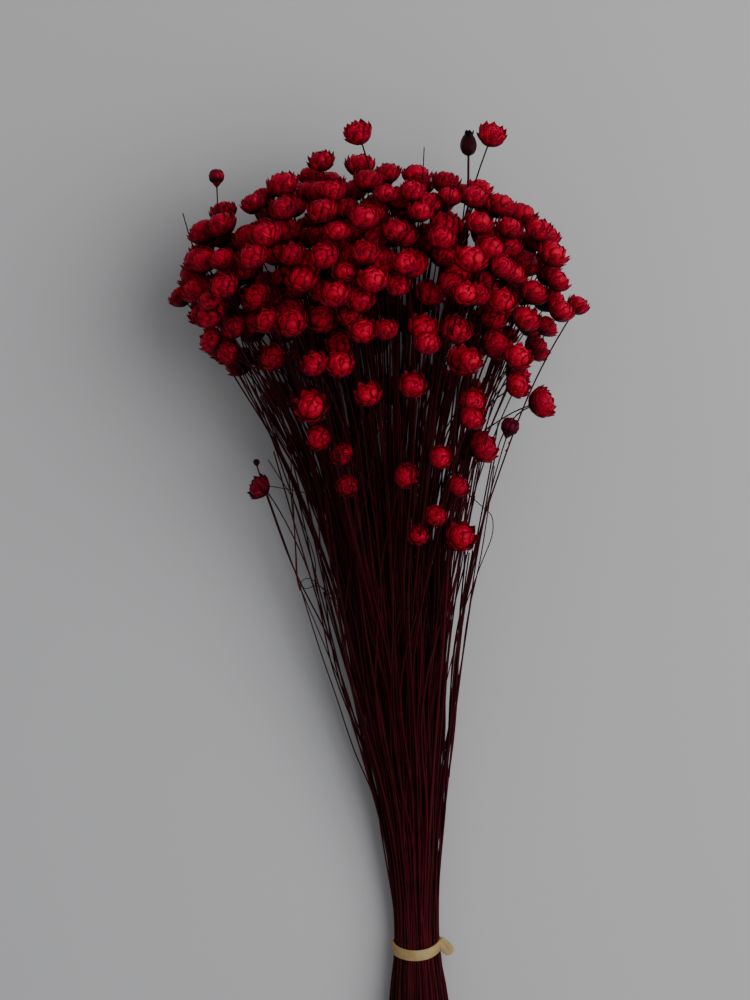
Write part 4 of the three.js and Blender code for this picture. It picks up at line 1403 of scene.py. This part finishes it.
@dataclass(frozen=True)
class BractFinish(Finish):
    """Dyed papery bracts: a near black foot, partly their own dark base and partly painted shade, a
    deep red body, lighter inner bracts with a painted glow, and small dark tips.
    """

    # The foot and belly: partly the bracts' own dark base, partly painted shade under the head.
    foot: Colour = (0.008, 0.0002, 0.0012)
    belly: Colour = (0.160, 0.0, 0.010)
    body: Colour = (0.425, 0.0, 0.020)
    crown: Colour = (0.455, 0.0, 0.022)
    # Lighter inner bracts, with a painted glow as of light through their upper parts.
    lighter_inner_painted_glow: Colour = (0.475, 0.001, 0.027)
    rim: Colour = (0.040, 0.0, 0.005)
    gloss: float = 0.07
    roughness: float = 0.42

    def make(self) -> bpy.types.Material:
        """Builds the material.

        The colour follows the height in the head, from its foot to its crown; the dark foot is partly
        the bracts' own dark base and partly painted shade under the head. Inner bracts are lighter,
        with a painted glow towards their tips as of light through them, the tips of outer ones are
        dark, and each has a shade of its own. Each head's shade is its own random tone, with painted
        shade on the low heads.

        Returns:
            The material.
        """
        shader = Shader(self.name)
        height, level, head, bract = shader.tone()
        across, along = shader.across()
        uneven = shader.math("MULTIPLY", shader.math("SUBTRACT", shader.noise(260.0), 0.5), 0.16)
        up = shader.math("ADD", height, uneven, clamp=True)
        stops = (
            (0.0, self.foot),
            (0.2, self.foot),
            (0.37, self.belly),
            (0.53, self.body),
            (1.0, self.crown),
        )
        # Dark towards the foot: partly the bracts' own dark base, partly painted shade under the
        # head.
        colour = shader.ramp(up, stops)
        # Painted glow, as of light through the inner bracts, strongest towards their tips, over their
        # own lighter tone.
        painted_glow_reach = shader.linear(shader.math("POWER", along, 2.0), 0.7, 0.3)
        inner = shader.math("MULTIPLY", shader.math("POWER", level, 2.0), painted_glow_reach)
        colour = shader.blend(shader.math("MULTIPLY", inner, 0.7), colour, self.lighter_inner_painted_glow)
        tip = shader.math("MULTIPLY", shader.math("POWER", along, 14.0), 0.9, clamp=True)
        outer = shader.math("SUBTRACT", 1.0, level)
        colour = shader.blend(shader.math("MULTIPLY", tip, outer, clamp=True), colour, self.rim)
        # Each head's own random tone, with painted shade on the low heads.
        shade = shader.linear(head, 0.6, 0.6)
        own = shader.linear(bract, 0.35, 0.82)
        mottle = shader.linear(shader.noise(700.0), 0.4, 0.8)
        tint = shader.math("MULTIPLY", shader.math("MULTIPLY", shade, own), mottle)
        colour = shader.scaled(colour, tint)
        veins = shader.math("SINE", shader.math("MULTIPLY", across, 44.0))
        relief = shader.math("ADD", shader.math("MULTIPLY", veins, 0.2), shader.noise(1500.0))
        rough = shader.linear(shader.noise(500.0), 0.2, self.roughness - 0.1)
        shader.surface.inputs["Specular IOR Level"].default_value = self.gloss
        shader.finish(colour, rough, relief, 0.008 * MM)
        return shader.material


@dataclass(frozen=True)
class StemFinish(Finish):
    """Dyed wiry stems: near black with maroon and brown among them, and pale where cut, with painted
    shade that darkens them towards their blooms and their cut ends.
    """

    black: Colour = (0.023, 0.0007, 0.0026)
    maroon: Colour = (0.054, 0.0008, 0.0052)
    brown: Colour = (0.050, 0.0021, 0.0036)
    red: Colour = (0.076, 0.0008, 0.0068)
    pith: Colour = (0.24, 0.13, 0.07)
    gloss: float = 0.10
    roughness: float = 0.55

    def make(self) -> bpy.types.Material:
        """Builds the material.

        Returns:
            The material, with a shade for each stem, streaks along it, fine ridges, and painted shade
            towards the stems' tops and their cut ends.
        """
        shader = Shader(self.name)
        along, stem, tint, cut = shader.tone()
        across, _ = shader.across()
        stops = (
            (0.0, self.black),
            (0.35, self.maroon),
            (0.6, self.brown),
            (0.75, self.maroon),
            (1.0, self.red),
        )
        colour = shader.ramp(stem, stops)
        # Painted shade: the stems turn black towards their blooms.
        top_painted_shade = shader.math("MULTIPLY", shader.math("POWER", along, 3.0), 0.7)
        colour = shader.blend(top_painted_shade, colour, self.black)
        streak = shader.linear(shader.noise(160.0, 6.0), 1.4, 0.3)
        own = shader.linear(tint, 0.4, 0.8)
        # Painted shade: the stems darken towards their cut ends.
        foot = shader.linear(along, 2.0, 0.5)
        own = shader.math("MULTIPLY", own, shader.math("MINIMUM", foot, 1.0))
        colour = shader.scaled(colour, shader.math("MULTIPLY", streak, own))
        colour = shader.blend(shader.math("POWER", cut, 12.0), colour, self.pith)
        ridges = shader.math("SINE", shader.math("MULTIPLY", across, 6 * TURN))
        height = shader.math("ADD", shader.math("MULTIPLY", ridges, 0.4), shader.noise(1200.0))
        shader.surface.inputs["Specular IOR Level"].default_value = self.gloss
        shader.finish(colour, self.roughness, height, 0.04 * MM)
        return shader.material


@dataclass(frozen=True)
class CapsuleFinish(Finish):
    """The dark, slightly glossy skin of the seed capsule."""

    low: Colour = (0.010, 0.0010, 0.0020)
    high: Colour = (0.046, 0.0030, 0.0064)
    gloss: float = 0.09
    roughness: float = 0.32

    def make(self) -> bpy.types.Material:
        """Builds the material."""
        shader = Shader(self.name)
        height, _, _, _ = shader.tone()
        across, _ = shader.across()
        colour = shader.ramp(height, ((0.0, self.low), (0.5, self.high), (1.0, self.low)))
        spots = shader.linear(shader.noise(1400.0, 5.0), 1.0, 0.5)
        colour = shader.scaled(colour, spots)
        ribs = shader.math("SINE", shader.math("MULTIPLY", across, 6 * TURN))
        relief = shader.math("ADD", shader.math("MULTIPLY", ribs, 0.8), shader.noise(1800.0))
        shader.surface.inputs["Specular IOR Level"].default_value = self.gloss
        shader.finish(colour, self.roughness, relief, 0.08 * MM)
        return shader.material


@dataclass(frozen=True)
class RubberFinish(Finish):
    """Dull tan rubber with fine bloom and faint lines along the strip."""

    light: Colour = (0.38, 0.265, 0.108)
    deep: Colour = (0.28, 0.175, 0.06)

    def make(self) -> bpy.types.Material:
        """Builds the material."""
        shader = Shader(self.name)
        across, _ = shader.across()
        colour = shader.ramp(shader.noise(220.0, 5.0), ((0.3, self.deep), (0.62, self.light)))
        lines = shader.math("SINE", shader.math("MULTIPLY", across, 10 * TURN))
        height = shader.math("ADD", shader.math("MULTIPLY", lines, 0.3), shader.noise(1600.0, 4.0))
        rough = shader.linear(shader.noise(400.0), 0.2, 0.5)
        shader.finish(colour, rough, height, 0.05 * MM)
        return shader.material


@dataclass(frozen=True)
class FloorFinish(Finish):
    """A plain pale matte floor."""

    pale: Colour = (0.50, 0.50, 0.51)

    def make(self) -> bpy.types.Material:
        """Builds the material."""
        shader = Shader(self.name)
        light = shader.linear(shader.noise(3.0), 0.04, 0.98)
        colour = shader.scaled(shader.blend(0.0, self.pale, self.pale), light)
        shader.finish(colour, 0.85, shader.noise(80.0), 0.05 * MM)
        return shader.material


# The set


@dataclass(frozen=True)
class Studio:
    """A pale floor, soft lights and the camera that looks down on the lying bunch."""

    photo_size: tuple[int, int] = (750, 1000)
    metres_per_pixel: float = 0.44 * MM
    band_pixel: tuple[float, float] = (417.0, 948.0)
    subject_height: float = 42 * MM
    camera_height: float = 3.0
    sensor: float = 24.0
    floor_size: float = 4.0
    target: tuple[float, float, float] = (0.0, 0.12, 0.05)
    key_place: tuple[float, float, float] = (0.88, 0.5, 1.2)
    key_size: float = 1.5
    key_watts: float = 16.0
    fill_place: tuple[float, float, float] = (0.95, -0.1, 1.1)
    fill_size: float = 1.4
    fill_watts: float = 6.0
    surround: Colour = (0.97, 0.98, 1.0)
    surround_strength: float = 0.32

    def add_camera(self, band_middle: Array) -> None:
        """The camera, straight over the place that the photo's middle shows.

        The lens is set so that, at the crown's height, a pixel is metres_per_pixel wide.

        Args:
            band_middle: The middle of the tied bundle.
        """
        width, height = self.photo_size
        across = (width / 2 - self.band_pixel[0]) * self.metres_per_pixel
        along = (self.band_pixel[1] - height / 2) * self.metres_per_pixel
        data = bpy.data.cameras.new("photo_view")
        data.sensor_fit = "VERTICAL"
        data.sensor_height = self.sensor
        seen = height * self.metres_per_pixel
        data.lens = self.sensor * (self.camera_height - self.subject_height) / seen
        camera = bpy.data.objects.new("photo_view", data)
        camera.location = (band_middle[0] + across, band_middle[1] + along, self.camera_height)
        bpy.context.scene.collection.objects.link(camera)
        bpy.context.scene.camera = camera

    def add_floor(self) -> None:
        """A wide flat floor under the part, and not a piece of it."""
        half = self.floor_size / 2
        corners = [(-half, -half, 0), (half, -half, 0), (half, half, 0), (-half, half, 0)]
        points, quad = np.array(corners, float), np.array([[0, 1, 2, 3]])
        surface = Surface(points, quad, np.empty((0, 3), int), np.ones((4, 4)), np.zeros((4, 2)))
        surface.piece("floor", FloorFinish("pale_floor").material(), pressed=False)

    def add_area(self, name: str, place: Sequence[float], size: float, watts: float) -> None:
        """A square soft light at a place, turned to the lights' target."""
        data = bpy.data.lights.new(name, "AREA")
        data.size = size
        data.energy = watts
        light = bpy.data.objects.new(name, data)
        way = unit(np.array(place) - np.array(self.target))
        first, _ = square_to(way, ALONG if abs(way[1]) < NEARLY_ALONG else UP)
        columns = np.stack([np.cross(first, way), first, way], axis=1)
        rows = [[*turned, shift] for turned, shift in zip(columns, place)]
        light.matrix_world = Matrix([*rows, [0, 0, 0, 1]])
        bpy.context.scene.collection.objects.link(light)

    def add_lights(self) -> None:
        """A large key on the right, a softer fill lower on the same side, and a dim surround."""
        self.add_area("key_right", self.key_place, self.key_size, self.key_watts)
        self.add_area("fill_right", self.fill_place, self.fill_size, self.fill_watts)
        world = bpy.data.worlds.new("surround")
        world.use_nodes = True
        background = world.node_tree.nodes["Background"]
        background.inputs["Color"].default_value = (*self.surround, 1.0)
        background.inputs["Strength"].default_value = self.surround_strength
        bpy.context.scene.world = world


def settle(piece: bpy.types.Object, slot: Slot, *nodes: str) -> None:
    """Lets a piece ride on the part and hides the solids that it stands for."""
    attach(piece, ROOT_BODY)
    if nodes:
        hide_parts(*nodes)
    LOG.info("%s: %d faces", piece.name, len(piece.data.polygons))


def main() -> None:
    """Builds the bunch piece by piece, then the set."""
    logging.basicConfig(level=logging.INFO, format="%(message)s")
    bract = BractFinish("dyed_bracts")
    dark_bract = BractFinish(
        "dark_bracts",
        belly=(0.022, 0.0005, 0.005),
        body=(0.090, 0.001, 0.014),
        crown=(0.190, 0.002, 0.026),
        lighter_inner_painted_glow=(0.26, 0.004, 0.036),
    )
    # Maroon bracts: the round bud's own darker colour, and a darker copy as painted shade on
    # left_star.
    maroon_and_shaded_bract = BractFinish(
        "maroon_and_shaded_bracts",
        belly=(0.050, 0.0003, 0.006),
        body=(0.170, 0.001, 0.014),
        crown=(0.250, 0.002, 0.023),
        lighter_inner_painted_glow=(0.27, 0.002, 0.024),
    )
    capsule = CapsuleFinish("capsule_skin")
    stem = StemFinish("dyed_stems")
    finish_of_form = {Form.OPEN: bract, Form.BUD: dark_bract, Form.CAPSULE: capsule}
    # left_star takes the maroon bracts as painted shade; the round bud takes them as its own colour.
    finish_of_node = {"round_bud": maroon_and_shaded_bract, "left_star": maroon_and_shaded_bract, "tiny_bud": capsule}
    bunch = Bunch.read()
    for number, node in enumerate(bunch.stems):
        rng = np.random.default_rng([SEED, number])
        form = FORM_OF_NODE.get(node, Form.OPEN)
        slot = Slot.FLOWER if form is Form.OPEN else Slot.DARK
        settle(bunch.add_stems(node, stem, rng), slot, node)
        finish = finish_of_node.get(node, finish_of_form[form])
        settle(bunch.add_blooms(node, finish, rng), slot, node)
    rng = np.random.default_rng(SEED)
    settle(bunch.add_fillers(stem, rng), Slot.FLOWER)
    settle(OuterStems(bunch.shape).build(bunch.middle, stem, rng), Slot.FLOWER)
    settle(LooseStems(bunch.shape).build(bunch.middle, stem, rng), Slot.FLOWER)
    settle(RubberBand().build(bunch.middle, RubberFinish("tan_rubber")), Slot.RUBBER, BAND_NODE)
    studio = Studio()
    studio.add_camera(bunch.middle)
    studio.add_floor()
    studio.add_lights()


if __name__ == "__main__":
    main()
